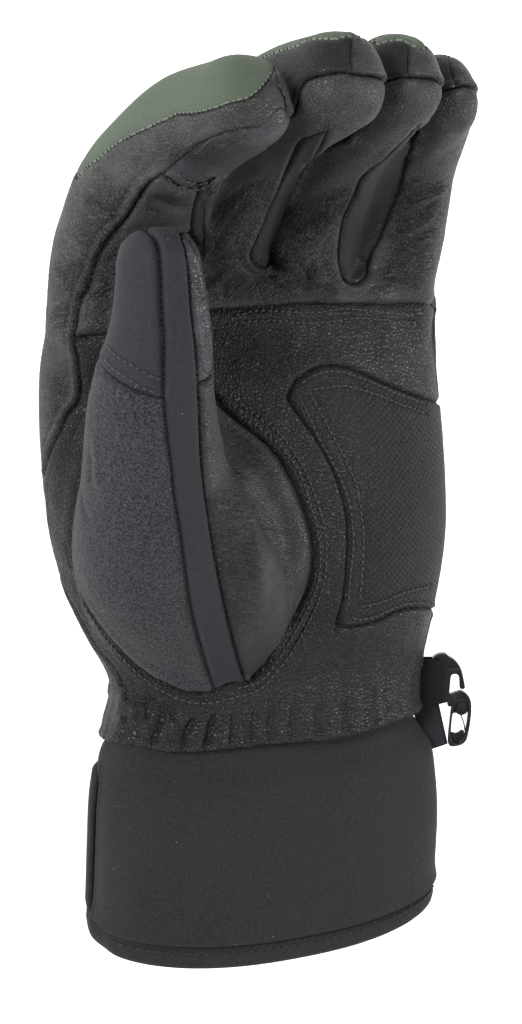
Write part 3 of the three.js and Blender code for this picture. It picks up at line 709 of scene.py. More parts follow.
right_of_left = -beside(flat_view, STRIP_LEFT) * MM_PER_PIXEL
left_of_right = beside(flat_view, STRIP_RIGHT) * MM_PER_PIXEL
fields["strip"] = np.minimum(np.minimum(right_of_left, left_of_right), thumb["y"] + 4)
around = (thumb["angle"] - 34) % 360 + 34
fields["wipe"] = -right_of_left * to_camera + np.minimum(214 - around, 60) * 0.25 * (1 - to_camera)
hem_place = located("thumb", THUMB_HEM)
hem_around = (hem_place["angle"] - 34) % 360 + 34
fields["hem"] = (thumb["u"] - level_line(hem_around, hem_place["u"], 6)(around)) * LIMBS["thumb"].length
tab_spot, _ = limb_surface("thumb").hit((208, 378))
tab_u = LIMBS["thumb"].locate(tab_spot[None])["u"][0]
fields["edge"] = np.minimum((thumb["u"] - tab_u) * LIMBS["thumb"].length,
                            (np.where(around > 200, around - 360, around) - 10) * 0.25)
fields["leather"] = y - np.interp(x, *np.array(PALM_SEAM, float).T)
heel = beside(flat_view, curve(HEEL, 90)[::2], closed=True) * MM_PER_PIXEL
fields["heel"] = heel if np.median(heel[np.linalg.norm(flat_view - (390, 500), axis=1) < 20]) > 0 else -heel
fields["gather"] = WRIST_Y - y
palm_side = smooth((z - 10) / 20)
low_spots, _ = limb_surface("hand").trace(GATHER_LOW)
fields["below"] = level_line(low_spots[:, 0], low_spots[:, 1])(x) * palm_side + 68 * (1 - palm_side) - y
pad_place = located("index", PAD_END)
fields["pad"] = ((where["index"]["u"] - level_line(pad_place["x"], pad_place["u"], 8)(where["index"]["x"]))
                 * LIMBS["index"].length)
fields["pad"] = np.where(nearest == 0, fields["pad"], -20)
for name in FINGER_NAMES:
    place = where[name]
    traced = np.array(TIP_SEAM[name], float)
    right_of_seam = (flat_view[:, 0] - np.interp(flat_view[:, 1], traced[:, 1], traced[:, 0])) * MM_PER_PIXEL
    split_x = located(name, TIP_SEAM[name])["x"].mean()
    past_seam = right_of_seam * to_camera + (place["x"] - split_x) * (1 - to_camera)
    fields["tip_" + name] = np.minimum(past_seam, (place["u"] - 1) * LIMBS[name].length + 5)


channel_areas = {label: zone(flat_view, shape["outline"]) for label, shape in CHANNELS.items()}
near_channel = np.max(list(channel_areas.values()), axis=0)
bridged = zone(flat_view, BRIDGED)
open_to_camera = seen_by_camera(skin_surface, skin, normals,
                                (np.maximum(near_channel, bridged) > -4.5) & (seen > -0.1) & (y > 150))
for label, inside in channel_areas.items():
    fields[label] = np.where(open_to_camera, inside, -20)
fields["beside_channel"] = np.where(open_to_camera & (seen > 0.15),
                                    np.maximum(near_channel + 3.5, bridged), -20)


# Cutting the skin into panels.
class Sheets:
    """Triangles with a panel name each; cuts follow the zero lines of fields known at the points."""

    def __init__(self, points, triangles, values):
        self.names = list(values)
        self.data = np.column_stack([points, *values.values()])
        self.triangles = triangles
        self.label = np.array(["body"] * len(triangles), dtype=object)

    def value(self, name):
        return self.data[:, 3 + self.names.index(name)]

    def slice(self, mine, f, snap=0.12):
        """Cuts chosen triangles along a field's zero line; gives them, their labels and the longer field."""
        f = f.copy()
        f[np.abs(f) < snap] = 0
        tri = self.triangles[mine]
        old = self.label[mine]
        sign = np.sign(f)[tri]
        cross = np.stack([sign[:, k] * sign[:, (k + 1) % 3] < 0 for k in range(3)], 1)
        count = cross.sum(1)
        out = [tri[count == 0]]
        labels = [old[count == 0]]
        pairs = np.sort(np.concatenate([tri[cross[:, k]][:, [k, (k + 1) % 3]] for k in range(3)]), axis=1)
        if len(pairs):
            pairs = np.unique(pairs, axis=0)
            fa, fb = f[pairs[:, 0]], f[pairs[:, 1]]
            t = (fa / (fa - fb))[:, None]
            fresh = self.data[pairs[:, 0]] * (1 - t) + self.data[pairs[:, 1]] * t
            base = len(self.data)
            self.data = np.vstack([self.data, fresh])
            f = np.concatenate([f, np.zeros(len(fresh))])
            keys = pairs[:, 0] * base + pairs[:, 1]

            def made(a, b):
                key = np.minimum(a, b) * base + np.maximum(a, b)
                return base + np.searchsorted(keys, key)

            for k in range(3):
                pick = (count == 1) & cross[:, k]
                a, b, c = (tri[pick][:, (k + i) % 3] for i in range(3))
                m = made(a, b)
                out += [np.stack([a, m, c], 1), np.stack([m, b, c], 1)]
                labels += [old[pick]] * 2
                pick = (count == 2) & ~cross[:, (k + 1) % 3]
                a, b, c = (tri[pick][:, (k + i) % 3] for i in range(3))
                m, n = made(a, b), made(c, a)
                out += [np.stack([a, m, n], 1), np.stack([m, b, c], 1), np.stack([m, c, n], 1)]
                labels += [old[pick]] * 3
        return np.concatenate(out), np.concatenate(labels), f

    def split(self, label, name, new, only=None):
        """Triangles of a panel on the positive side of a field become the new panel."""
        mine = self.label == label
        if only is not None:
            mine &= only[self.triangles].all(1)
        tri, _, f = self.slice(mine, self.value(name))
        names = np.where(f[tri].sum(1) > 0, new, label).astype(object)
        self.triangles = np.concatenate([self.triangles[~mine], tri])
        self.label = np.concatenate([self.label[~mine], names])

    def refine(self, f):
        """Adds an edge line along a field's zero line, and changes no panel."""
        self.triangles, self.label, _ = self.slice(np.ones(len(self.label), bool), f)

    def edges(self):
        """Edges with the labels on their two sides; a free edge has an empty label."""
        pairs = np.concatenate([self.triangles[:, [k, (k + 1) % 3]] for k in range(3)])
        pairs = np.sort(pairs, axis=1)
        owner = np.tile(np.arange(len(self.triangles)), 3)
        order = np.lexsort((pairs[:, 1], pairs[:, 0]))
        pairs, owner = pairs[order], owner[order]
        same = np.append((pairs[1:] == pairs[:-1]).all(1), False)
        follows = np.insert(same[:-1], 0, False)
        first = np.flatnonzero(~follows)
        other = np.where(same[first], np.append(self.label[owner], "")[first + 1], "")
        return pairs[first], self.label[owner[first]], other


fields["nearest"] = nearest.astype(float)
for name in FINGER_NAMES:
    fields["x_" + name] = where[name]["x"]
    fields["end_" + name] = (where[name]["u"] - 1) * LIMBS[name].length
sheets = Sheets(skin, skin_faces, fields)
sheets.split("body", "below", "waste")
keep = sheets.label != "waste"
sheets.triangles, sheets.label = sheets.triangles[keep], sheets.label[keep]
# Each cut: the panel that is cut, the field, and the name of the new panel.
CUTS = [
    ("body", "thumb", "thumb_inner"),
    ("thumb_inner", "strip", "thumb_strip"),
    ("thumb_inner", "wipe", "thumb_wipe"),
    ("thumb_wipe", "hem", "thumb_tip"),
    ("thumb_inner", "edge", "thumb_edge"),
    ("body", "back", "hand_back"),
    ("body", "palm", "palm_patch"),
    ("palm_patch", "leather", "palm_leather"),
    *((cut, label, label) for label in CHANNELS for cut in ("body", "palm_leather")),
    ("body", "beside_channel", "palm_leather"),
    ("palm_leather", "pad", "index_touch_pad"),
    ("palm_patch", "heel", "heel_patch"),
    ("palm_patch", "gather", "wrist_gather"),
    ("hand_back", "gather", "gather_back"),
]
for cut in CUTS:
    sheets.split(*cut)
for k, name in enumerate(FINGER_NAMES):
    sheets.split("body", "tip_" + name, name + "_tip", only=np.round(sheets.value("nearest")) == k)
middle_of = sheets.triangles[:, 0]
side_of = {(0, 0): "hand_edge", (0, 1): "fourchette_1", (1, 0): "fourchette_1", (1, 1): "fourchette_2",
           (2, 0): "fourchette_2", (2, 1): "fourchette_3", (3, 0): "fourchette_3", (3, 1): "little_side"}
for k, name in enumerate(FINGER_NAMES):
    on_end = sheets.value("end_" + name)[middle_of] > -5
    for far in (0, 1):
        chosen = ((sheets.label == "body") & (np.round(sheets.value("nearest"))[middle_of] == k)
                  & (((sheets.value("x_" + name)[middle_of] > 0) & ~on_end) == bool(far)))
        sheets.label[chosen] = side_of[k, far]


# Relief on the panels.
PLAIN_SEAMS = {frozenset(pair) for pair in (("palm_patch", "wrist_gather"), ("hand_back", "gather_back"))}
WALL = 1.4
# Distances from the seams at which the mesh gets an extra edge line.
SEAM_RINGS = (0.8, 1.7)
# Seam profiles: groove depth and half width, swelling beside it and how far out that is.
SEAM_KINDS = {
    "sewn": (0.9, 0.9, 0.35, 3.0),
    "lapped": (0.45, 0.6, 0.12, 2.2),
    "crisp": (1.2, 0.7, 0.25, 2.2),
    "piped": (0.8, 0.6, 0.0, 3.0),
    "channel": (0.5, 0.55, 0.3, 1.5),
    "tucked": (0.6, 0.6, 0.0, 3.0),
    "flat": (0.7, 0.55, 0.2, 1.8),
    "fine": (0.35, 0.4, 0.1, 1.5),
    "hooded": (0.7, 0.6, 0.0, 2.0),
}
PALM_SIDE = {"palm_patch", "palm_leather", "wrist_gather", "index_touch_pad"}

# Folds traced on the picture: lift in millimetres (a groove is negative), half width, and the line in pixels.
FOLDS = [
    # Rolled rims round the lower ends of the channels between the fingers.
    (0.6, 0.8, [(268, 206), (258, 226), (249, 243), (246, 255), (251, 266), (260, 271), (269, 268),
                (276, 258)]),
    (-0.5, 0.8, [(244, 240), (241, 254), (246, 268), (258, 276), (270, 275), (280, 266)]),
    (0.7, 0.9, [(343, 215), (336, 232), (333, 250), (335, 268), (340, 281), (352, 289), (364, 286),
                (372, 276)]),
    (-0.6, 0.9, [(338, 226), (329, 244), (324, 256), (328, 270), (335, 284), (350, 296), (366, 293),
                 (376, 282)]),
    # Soft diagonal ridges below the middle finger.
    (0.9, 2.0, [(204, 298), (216, 285), (230, 273), (243, 263)]),
    (-0.7, 1.6, [(204, 282), (216, 272), (230, 262), (240, 255)]),
    (0.5, 1.4, [(212, 262), (224, 246), (234, 228), (246, 208), (258, 193)]),
    (-0.45, 0.9, [(214, 252), (226, 234), (236, 216), (249, 197)]),
    (0.45, 1.0, [(218, 232), (228, 216), (240, 202), (252, 190)]),
    (-0.4, 0.8, [(212, 206), (222, 204), (234, 196), (246, 189), (266, 182)]),
    # Creases at the base of the ring finger.
    (-0.5, 0.9, [(290, 206), (304, 204), (318, 200), (334, 195), (350, 188)]),
    (0.5, 1.1, [(288, 220), (300, 214), (316, 208), (332, 202), (348, 196)]),
    (-0.6, 1.3, [(282, 246), (294, 238), (306, 232), (318, 222), (330, 208)]),
    (0.6, 1.2, [(284, 256), (298, 250), (312, 242), (326, 230), (338, 214)]),
    (-0.4, 0.9, [(276, 268), (292, 264), (308, 254), (322, 244)]),
    (-0.4, 0.9, [(300, 236), (312, 226), (320, 214)]),
    # Folds across the little finger.
    (-0.7, 1.0, [(396, 198), (410, 198), (424, 193), (438, 190), (453, 185)]),
    (0.6, 1.3, [(394, 207), (410, 205), (428, 199), (450, 189)]),
    (-0.6, 1.0, [(392, 216), (402, 222), (415, 218), (430, 207), (441, 200)]),
    (0.7, 1.5, [(386, 236), (404, 232), (420, 225), (438, 214)]),
    (-0.6, 1.0, [(384, 254), (396, 248), (412, 240), (428, 232), (437, 226)]),
    (-0.5, 0.9, [(405, 172), (412, 180), (424, 187), (436, 186), (446, 180)]),
    (-0.4, 0.8, [(382, 285), (398, 284), (412, 290), (422, 291)]),
    # Crumples over the palm seam.
    (-0.6, 0.9, [(316, 262), (309, 272), (307, 284), (309, 294)]),
    (0.5, 0.9, [(322, 262), (316, 272), (314, 284), (316, 296)]),
    (-0.5, 0.9, [(268, 274), (278, 284), (284, 292)]),
    (0.4, 1.2, [(276, 274), (288, 286), (298, 292)]),
    (-0.5, 1.0, [(234, 270), (226, 282), (220, 296)]),
    # Side of the index: knuckle creases and folds.
    (-0.7, 0.9, [(82, 196), (92, 201), (102, 207), (112, 213), (122, 219)]),
    (0.5, 1.3, [(78, 205), (92, 212), (106, 220), (118, 228)]),
    (-0.5, 0.8, [(55, 263), (64, 270), (76, 268), (84, 266), (91, 270)]),
    (0.5, 1.5, [(54, 274), (64, 279), (76, 281), (88, 280)]),
    (-0.6, 0.9, [(49, 320), (58, 317), (66, 313), (73, 309)]),
    (0.6, 1.3, [(50, 311), (58, 308), (66, 304), (74, 300)]),
    (-0.5, 0.9, [(44, 418), (54, 414), (62, 409)]),
    (-0.4, 0.8, [(96, 168), (108, 176), (118, 186)]),
    (-0.4, 1.0, [(226, 104), (240, 108), (256, 108)]),
    (-0.3, 0.8, [(196, 128), (204, 124), (212, 122)]),
    # Between the piping and the thumb.
    (-0.7, 1.0, [(97, 262), (106, 263), (114, 258), (122, 254)]),
    (0.6, 1.4, [(96, 274), (106, 274), (116, 270)]),
    (-0.6, 1.0, [(92, 294), (102, 296), (112, 290)]),
    (0.7, 1.2, [(90, 306), (100, 305), (110, 300)]),
    (-0.5, 0.9, [(86, 316), (96, 316), (108, 312)]),
    (0.8, 1.2, [(80, 327), (92, 328), (106, 324)]),
    # Touch pad: hollow under the index and the web beside the thumb.
    (-0.9, 1.6, [(150, 196), (164, 204), (178, 210), (192, 208)]),
    (0.5, 1.6, [(140, 214), (156, 220), (172, 222)]),
    (-0.5, 1.0, [(256, 140), (268, 128), (278, 118), (287, 113)]),
    # Thumb: inner leather bulge, fleece fold, edge roll.
    (-1.0, 5.0, [(234, 432), (254, 456), (272, 490), (284, 524), (289, 560), (286, 592)]),
    (1.3, 4.5, [(222, 440), (236, 480), (250, 520), (258, 560), (256, 600), (250, 636)]),
    (-0.5, 2.2, [(249, 520), (247, 540), (240, 562), (232, 580)]),
    (0.5, 1.2, [(94, 430), (95, 450), (96, 470), (98, 490)]),
    (-0.6, 1.2, [(90, 452), (89, 470), (88, 486)]),
    (-0.6, 1.1, [(80, 492), (83, 508), (90, 524)]),
    (0.5, 0.8, [(190, 246), (199, 270), (204, 300), (209, 340), (211, 362)]),
    (-0.5, 0.6, [(187, 252), (196, 275), (200, 305), (205, 345), (207, 362)]),
    # Creases of the gathered wrist.
    (-1.4, 0.7, [(125, 699), (121, 711), (127, 723)]),
    (-1.5, 0.8, [(143, 698), (148, 708), (146, 720)]),
    (-1.3, 0.8, [(157, 703), (163, 712), (160, 724), (155, 736), (158, 749)]),
    (-1.2, 0.7, [(166, 706), (172, 714), (176, 722)]),
    (-1.5, 0.7, [(196, 716), (188, 728), (185, 740), (181, 751)]),
    (-1.5, 0.7, [(215, 710), (210, 728), (208, 740), (200, 751)]),
    (-1.2, 0.6, [(233, 710), (232, 728), (229, 749)]),
    (-1.1, 0.5, [(245, 720), (246, 735), (244, 748)]),
    (-1.1, 0.5, [(254, 708), (251, 728), (251, 748)]),
    (-0.8, 0.7, [(272, 706), (268, 724), (270, 744)]),
    (-0.7, 0.8, [(292, 704), (290, 722), (288, 742)]),
    (-0.7, 0.8, [(318, 700), (316, 720), (318, 738)]),
    (-0.6, 0.9, [(346, 694), (342, 712), (344, 733)]),
    (-0.6, 0.9, [(374, 686), (372, 704), (376, 726)]),
    (0.9, 1.5, [(132, 704), (135, 712), (134, 720)]),
    (0.9, 1.6, [(153, 708), (153, 720), (149, 732)]),
    (1.0, 1.6, [(180, 712), (176, 724), (170, 740)]),
    (0.9, 1.5, [(203, 718), (198, 730), (194, 744)]),
    (0.8, 1.5, [(222, 716), (221, 730), (218, 746)]),
    (-0.9, 1.0, [(118, 697), (130, 699), (146, 701), (162, 704)]),
    # Palm: broad valley under the palm seam, slit below the heel patch.
    (-1.2, 6.0, [(250, 345), (300, 338), (350, 336), (400, 345)]),
    (-1.2, 0.9, [(341, 612), (338, 624), (334, 634)]),
    (0.6, 3.0, [(232, 380), (252, 352), (278, 345)]),
]
# Stitch rows in pixels.
STITCH_ROWS = {
    "palm_upper": [(231, 316), (243, 314), (254, 311), (275, 311), (297, 312), (319, 312), (342, 309),
                   (362, 310), (382, 312), (403, 314), (421, 313)],
    "palm_lower": [(216, 328), (229, 325), (241, 322), (264, 320), (287, 321), (306, 323), (326, 322),
                   (346, 319), (357, 318), (378, 319), (398, 322), (416, 322)],
    "heel_top_1": [(298, 385), (310, 377), (324, 372), (342, 372), (357, 377), (373, 383), (390, 391),
                   (408, 398), (424, 404)],
    "heel_top_2": [(310, 390), (326, 387), (344, 386), (362, 390), (378, 395), (395, 402), (414, 409),
                   (426, 414)],
    "heel_side_1": [(296, 391), (306, 411), (319, 438), (334, 465), (345, 490), (351, 514), (353, 545),
                    (350, 577), (347, 612)],
    "heel_side_2": [(308, 393), (318, 409), (332, 435), (345, 460), (356, 487), (362, 520), (363, 550),
                    (361, 582), (359, 602)],
    "heel_low_1": [(359, 607), (373, 604), (387, 600), (400, 594), (414, 590), (430, 586)],
    "heel_low_2": [(350, 618), (364, 619), (378, 615), (391, 609), (405, 604), (420, 603), (430, 605)],
    "keyhole_1": [(223, 400), (241, 412), (256, 426), (274, 440), (287, 454), (300, 475), (311, 506),
                  (318, 535), (320, 559), (317, 584), (306, 610), (293, 634), (280, 655), (266, 675),
                  (252, 685), (236, 688)],
    "keyhole_2": [(225, 391), (243, 406), (259, 418), (277, 432), (292, 450), (305, 471), (318, 505),
                  (325, 533), (326, 560), (322, 588), (311, 616), (297, 642), (284, 662), (268, 682),
                  (252, 692), (234, 697), (208, 703), (182, 700), (150, 683), (117, 652), (91, 617),
                  (76, 587), (65, 541)],
    "hem_upper": [(105, 344), (120, 358), (130, 364), (144, 372), (154, 377), (162, 380)],
    "hem_lower": [(104, 358), (114, 369), (126, 377), (140, 386), (152, 391), (161, 393)],
    "pad_outer": [(167, 177), (175, 186), (191, 190), (206, 186), (216, 177)],
    "pad_inner": [(176, 171), (183, 179), (196, 184), (210, 181)],
    "strip_left": [(143, 228), (151, 235), (157, 245), (158, 262), (159, 285), (160, 309), (162, 338),
                   (162, 366)],
    "index_end": [(275, 81), (284, 96), (287, 110)],
    "thumb_tab_1": [(201, 371), (208, 373), (215, 370)],
    "thumb_tab_2": [(202, 384), (209, 386), (216, 384)],
}


class Cloud:
    """Nearest distances to many points."""

    def __init__(self, points):
        self.tree = KDTree(len(points))
        for k, point in enumerate(points):
            self.tree.insert(point, k)
        self.tree.balance()

    def nearest(self, points):
        found = [self.tree.find(point)[1:] for point in points]
        return np.array([f[1] for f in found]), np.array([f[0] for f in found])


def free_edge(sheets):
    """Points along the free lower edge of the gathered wrist."""
    pairs, _, other = sheets.edges()
    pairs = pairs[other == ""]
    return Cloud(sheets.data[pairs[:, 0], :3])


def sewn_edges(sheets):
    """Edges along every sewn seam, with the two panels' names."""
    pairs, one, other = sheets.edges()
    sewn = (one != other) & (other != "")
    sewn &= [frozenset(names) not in PLAIN_SEAMS for names in zip(one, other)]
    return pairs[sewn], one[sewn], other[sewn]


def seam_cloud(sheets):
    pairs, one, other = sewn_edges(sheets)
    a, b = (sheets.data[pairs[:, k], :3] for k in (0, 1))
    return Cloud(np.concatenate([a + (b - a) * t for t in (0, 1 / 3, 2 / 3)])), one, other


for reach in SEAM_RINGS:
    from_seam, _ = seam_cloud(sheets)[0].nearest(sheets.data[:, :3])
    sheets.refine(from_seam - reach)
seams, seam_one, seam_other = seam_cloud(sheets)
from_seam, seam_at = seams.nearest(sheets.data[:, :3])
seam_at = seam_at % len(seam_one)
from_edge, _ = free_edge(sheets).nearest(sheets.data[:, :3])

base = sheets.data[:, :3].copy()
base[:, 2] = np.maximum(base[:, 2], WALL)
base_normals = normals_of(base, sheets.triangles)
base_pixels = to_pixels(base)


def used_by(*labels):
    """Which points belong to any of the panels."""
    out = np.zeros(len(base), bool)
    out[sheets.triangles[np.isin(sheets.label, labels)]] = True
    return out


def seam_kind(one, other):
    pair = {one, other}
    ends = {name for name in pair if name.endswith("_tip") and name != "thumb_tip"}
    if ends and pair - ends and not pair & (PALM_SIDE | {"hand_back"}):
        return "fine"
    if ends and pair & {"palm_leather", "index_touch_pad"}:
        return "hooded"
    if pair & set(CHANNELS) and "palm_leather" in pair:
        return "channel"
    if pair in ({"thumb_inner", "palm_patch"}, {"thumb_inner", "wrist_gather"}):
        return "tucked"
    if "heel_patch" in pair:
        return "flat"
    if pair & {"hand_edge", "little_side", "hand_back"} and pair & PALM_SIDE:
        return "piped"
    if "hand_back" in pair or "gather_back" in pair:
        return "lapped"
    if pair & {"thumb_strip", "thumb_edge", "thumb_tip"}:
        return "crisp"
    return "sewn"


def seam_relief():
    """Grooves along the seams, with the swelling of the panels beside them."""
    kinds = {}
    for k, names in enumerate(zip(seam_one, seam_other)):
        kinds.setdefault(seam_kind(*names), []).append(k)
    lift = np.zeros(len(base))
    for kind, edges in kinds.items():
        deep, half, puff, out = SEAM_KINDS[kind]
        mine = np.isin(seam_at, edges)
        d = from_seam[mine]
        value = -deep * np.exp(-(d / half) ** 2) + puff * np.exp(-((d - out) / 1.5) ** 2)
        if kind == "piped":
            side = (used_by("hand_edge") | used_by(*PALM_SIDE) & (base[:, 0] > 30))[mine]
            roll = 0.6 * np.exp(-((d - 1.6) / 0.9) ** 2) - 0.35 * np.exp(-((d - 3.3) / 0.7) ** 2)
            value += np.where(side, roll, 0.2 * np.exp(-((d - 2.6) / 1.6) ** 2))
            value *= 1 - 0.8 * smooth((sheets.value("pad")[mine] + 2) / 4)
        if kind == "tucked":
            sunk, raised = 1.5 * np.exp(-(d / 3.0) ** 2), 0.2 * np.exp(-(d / 2) ** 2)
            value += np.where(used_by("thumb_inner")[mine], -sunk, raised)
        if kind == "hooded":
            tip_side = used_by(*(name + "_tip" for name in FINGER_NAMES), *CHANNELS)
            value += np.where((tip_side & ~used_by("palm_leather"))[mine], 0.75 * np.exp(-(d / 2.2) ** 2),
                              -0.35 * np.exp(-(d / 1.6) ** 2))
        lift[mine] = value
    return lift


def in_view(surface):
    """About 1 where the camera sees the skin, fading to 0 where it is hidden."""
    shown = seen_by_camera(surface, base, base_normals, base_normals @ TOWARD > -0.05)
    return spread(shown.astype(float), sheets.triangles, 8)


def near_line(spots, reach):
    """For points near a traced line: which, how far, and how far along it from 0 to 1."""
    low, high = spots.min(0) - reach, spots.max(0) + reach
    chosen = np.flatnonzero(((base > low) & (base < high)).all(1))
    gap = np.full(len(chosen), np.inf)
    place = np.zeros(len(chosen))
    for k, spot in enumerate(spots):
        d = np.linalg.norm(base[chosen] - spot, axis=1)
        closer = d < gap
        gap[closer] = d[closer]
        place[closer] = k / (len(spots) - 1)
    keep = gap < reach
    return chosen[keep], gap[keep], place[keep]


def fold_relief(surface):
    """The traced folds, and the furrows that the stitch rows lie in."""
    lift = np.zeros(len(base))
    for height, half, line in FOLDS:
        spots, _ = surface.trace(line, 90)
        chosen, gap, place = near_line(spots, half * 2.6)
        taper = smooth(place / 0.18) * smooth((1 - place) / 0.18)
        lift[chosen] += height * taper * np.exp(-(gap / half) ** 2)
    for line in STITCH_ROWS.values():
        spots, _ = surface.trace(line, 120)
        chosen, gap, _ = near_line(spots, 2.2)
        lift[chosen] -= 0.42 * np.exp(-(gap / 0.7) ** 2)
    return lift


def lumps(size, seed=0.0):
    """Smooth noise from about -1 to 1 whose lumps are size millimetres."""
    return np.array([noise.noise(Vector(p)) for p in base / size + seed]) * 1.7


def gather_relief():
    """Pleats round the gathered wrist, strongest at its free edge."""
    angle = np.arctan2((base[:, 2] - MID) / 22, (base[:, 0] - 9) / 49)
    round_by = angle * 40 + 0.9 * lumps(14, seed=3)
    pleat = np.abs(np.sin(round_by / 2.3 + 1.6 * lumps(26, seed=9))) ** 0.7 - 0.6
    strong = np.where(base[:, 2] > 22, 0.5, 0.6)
    fade = smooth((97 - base[:, 1]) / 22)
    lip = 0.7 * np.exp(-((from_edge - 1.2) / 1.2) ** 2)
    return pleat * fade * strong + lip


# Zones of fine creases in the leather: slope on the picture in degrees, strength, and outline in pixels.
CREASED = [
    (52, 1.0, [(206, 262), (214, 206), (236, 194), (272, 180), (266, 205), (250, 240), (236, 262),
               (212, 290)]),
    (55, 1.0, [(282, 262), (284, 222), (292, 206), (350, 190), (352, 208), (330, 236), (300, 262)]),
    (40, 0.9, [(205, 300), (240, 262), (300, 264), (340, 292), (300, 300)]),
    (72, 0.8, [(300, 262), (322, 256), (334, 282), (330, 300), (300, 298)]),
    (14, 0.9, [(386, 250), (392, 205), (404, 176), (450, 186), (436, 240), (428, 285), (376, 290)]),
    (-38, 0.8, [(72, 240), (80, 190), (104, 180), (128, 214), (104, 244), (92, 262)]),
    (4, 0.7, [(50, 330), (56, 262), (92, 258), (88, 300), (70, 330)]),
    (30, 0.8, [(88, 330), (98, 262), (122, 236), (118, 262), (108, 330)]),
    (-4, 0.6, [(44, 430), (48, 372), (68, 376), (62, 420)]),
    (36, 0.9, [(206, 172), (166, 160), (190, 146), (246, 126), (262, 132), (240, 150)]),
    (-16, 0.9, [(206, 500), (232, 476), (256, 524), (262, 560), (236, 640), (222, 610)]),
    (20, 0.8, [(222, 420), (262, 436), (262, 470), (232, 470)]),
    (-20, 0.8, [(60, 540), (66, 560), (100, 640), (128, 680), (112, 690), (84, 640), (60, 590)]),
    (24, 0.6, [(216, 330), (290, 326), (286, 380), (232, 386)]),
]


def creases(shown):
    """Weight of the fine creases at each point, and a flat map with their run as its first axis."""
    weight = np.zeros(len(base))
    run = np.zeros((len(base), 2))
    flat = np.column_stack([base @ RIGHT, base @ UP])
    for slope, strength, outline in CREASED:
        inside = zone(base_pixels, outline)
        mask = strength * smooth((inside + 3) / 8) * shown
        c, s = math.cos(math.radians(slope)), math.sin(math.radians(slope))
        turned = np.column_stack([flat @ (c, s), flat @ (-s, c)])
        better = mask > weight
        run[better] = turned[better]
        weight = np.maximum(weight, mask)
    run[weight == 0] = flat[weight == 0]
    return weight, run


surface = Surface(base, sheets.triangles)
shown = in_view(surface)
leathery = used_by("palm_leather", "hand_edge", "index_touch_pad", "palm_patch", "wrist_gather",
                   "thumb_inner", "little_side")
leathery = spread(leathery.astype(float), sheets.triangles, 4)
relief = seam_relief() + fold_relief(surface) + gather_relief()
relief += 0.4 * lumps(24) + leathery * (0.12 * lumps(8, seed=5) + 0.05 * lumps(3.6, seed=7))
relief += np.where(used_by("thumb_wipe"), 0.06 * lumps(1.9, seed=11), 0)
relief += np.where(used_by("heel_patch"), 0.3 * smooth(from_seam / 1.4), 0)
crease_weight, crease_run = creases(shown)
relief = np.clip(relief, -3.6, 2.4)
shaped = base + base_normals * relief[:, None]
shaped[:, 2] = np.maximum(shaped[:, 2], 0.05)
shaped_normals = normals_of(shaped, sheets.triangles)
under = base - base_normals * WALL
under[:, 2] = np.maximum(under[:, 2], 0.3)


def panel(name, labels):
    """A sewn panel as a closed sheet: outer face with its relief, plain inner face and rim."""
    tri = sheets.triangles[np.isin(sheets.label, labels)]
    used, flat = np.unique(tri, return_inverse=True)
    tri = flat.reshape(-1, 3)
    count = len(used)
    points = np.concatenate([shaped[used], under[used]])
    directed = np.concatenate([tri[:, [0, 1]], tri[:, [1, 2]], tri[:, [2, 0]]])
    there = directed[:, 0] * count + directed[:, 1]
    back = directed[:, 1] * count + directed[:, 0]
    rim = directed[~np.isin(back, there)]
    quads = np.stack([rim[:, 1], rim[:, 0], rim[:, 0] + count, rim[:, 1] + count], 1)
    faces = [*map(tuple, tri), *map(tuple, tri[:, ::-1] + count), *map(tuple, quads)]
    piece = new_object(name, points, faces)
    weight = piece.data.attributes.new("creased", "FLOAT", "POINT")
    weight.data.foreach_set("value", np.concatenate([crease_weight[used], np.zeros(count)]))
    # Nearness to the seams: most materials paint shade along them with it, the green cloth its paler cut
    # edge.
    rim = piece.data.attributes.new("rim", "FLOAT", "POINT")
    rim.data.foreach_set("value", np.tile(np.clip(1 - from_seam[used] / 0.8, 0, 1), 2))
    run = np.concatenate([crease_run[used], crease_run[used]])
    corners = np.empty(len(piece.data.loops), int)
    piece.data.loops.foreach_get("vertex_index", corners)
    layer = piece.data.uv_layers.new(name="run")
    layer.uv.foreach_set("vector", (run[corners] / 10).ravel())
    return piece


# Stitches.
STITCH = {"pitch": 2.0, "long": 1.6, "radius": 0.3}
HEM_STITCH = {"pitch": 2.7, "long": 2.0, "radius": 0.26}
THUMB_TICKS_APART = 1.5
# A row ends where its points jump by more than this, because there it leaves the surface in view.
ROW_JUMP = 4


def stitch_bodies(spots, normals, pitch=STITCH["pitch"], long=STITCH["long"], radius=STITCH["radius"]):
    """Small sewn stitches along a row of surface points: each an arched thread whose ends sink in."""
    reach = reach_of(spots)
    bodies = []
    t = np.linspace(0, 1, 7)
    turn = np.arange(8) * math.pi / 4
    for start in np.arange(pitch / 2, reach[-1] - long, pitch):
        at = start + t * long
        middle = points_at(at, reach, spots)
        up = unit(points_at(at, reach, normals))
        ahead = unit(np.gradient(middle, axis=0), 1e-9)
        side = np.cross(ahead, up)
        middle = middle + up * (0.05 + 0.22 * np.sin(math.pi * t) - 0.18 * np.abs(2 * t - 1) ** 3)[:, None]
        thick = radius * (1 - 0.55 * np.abs(2 * t - 1) ** 3)
        rings = [middle[k] + thick[k] * (np.cos(turn)[:, None] * side[k] + np.sin(turn)[:, None] * up[k])
                 for k in range(len(t))]
        bodies.append(tube_faces(rings))
    return bodies


def joined(name, bodies):
    """One object of many closed bodies."""
    return new_object(name, *merged(bodies))


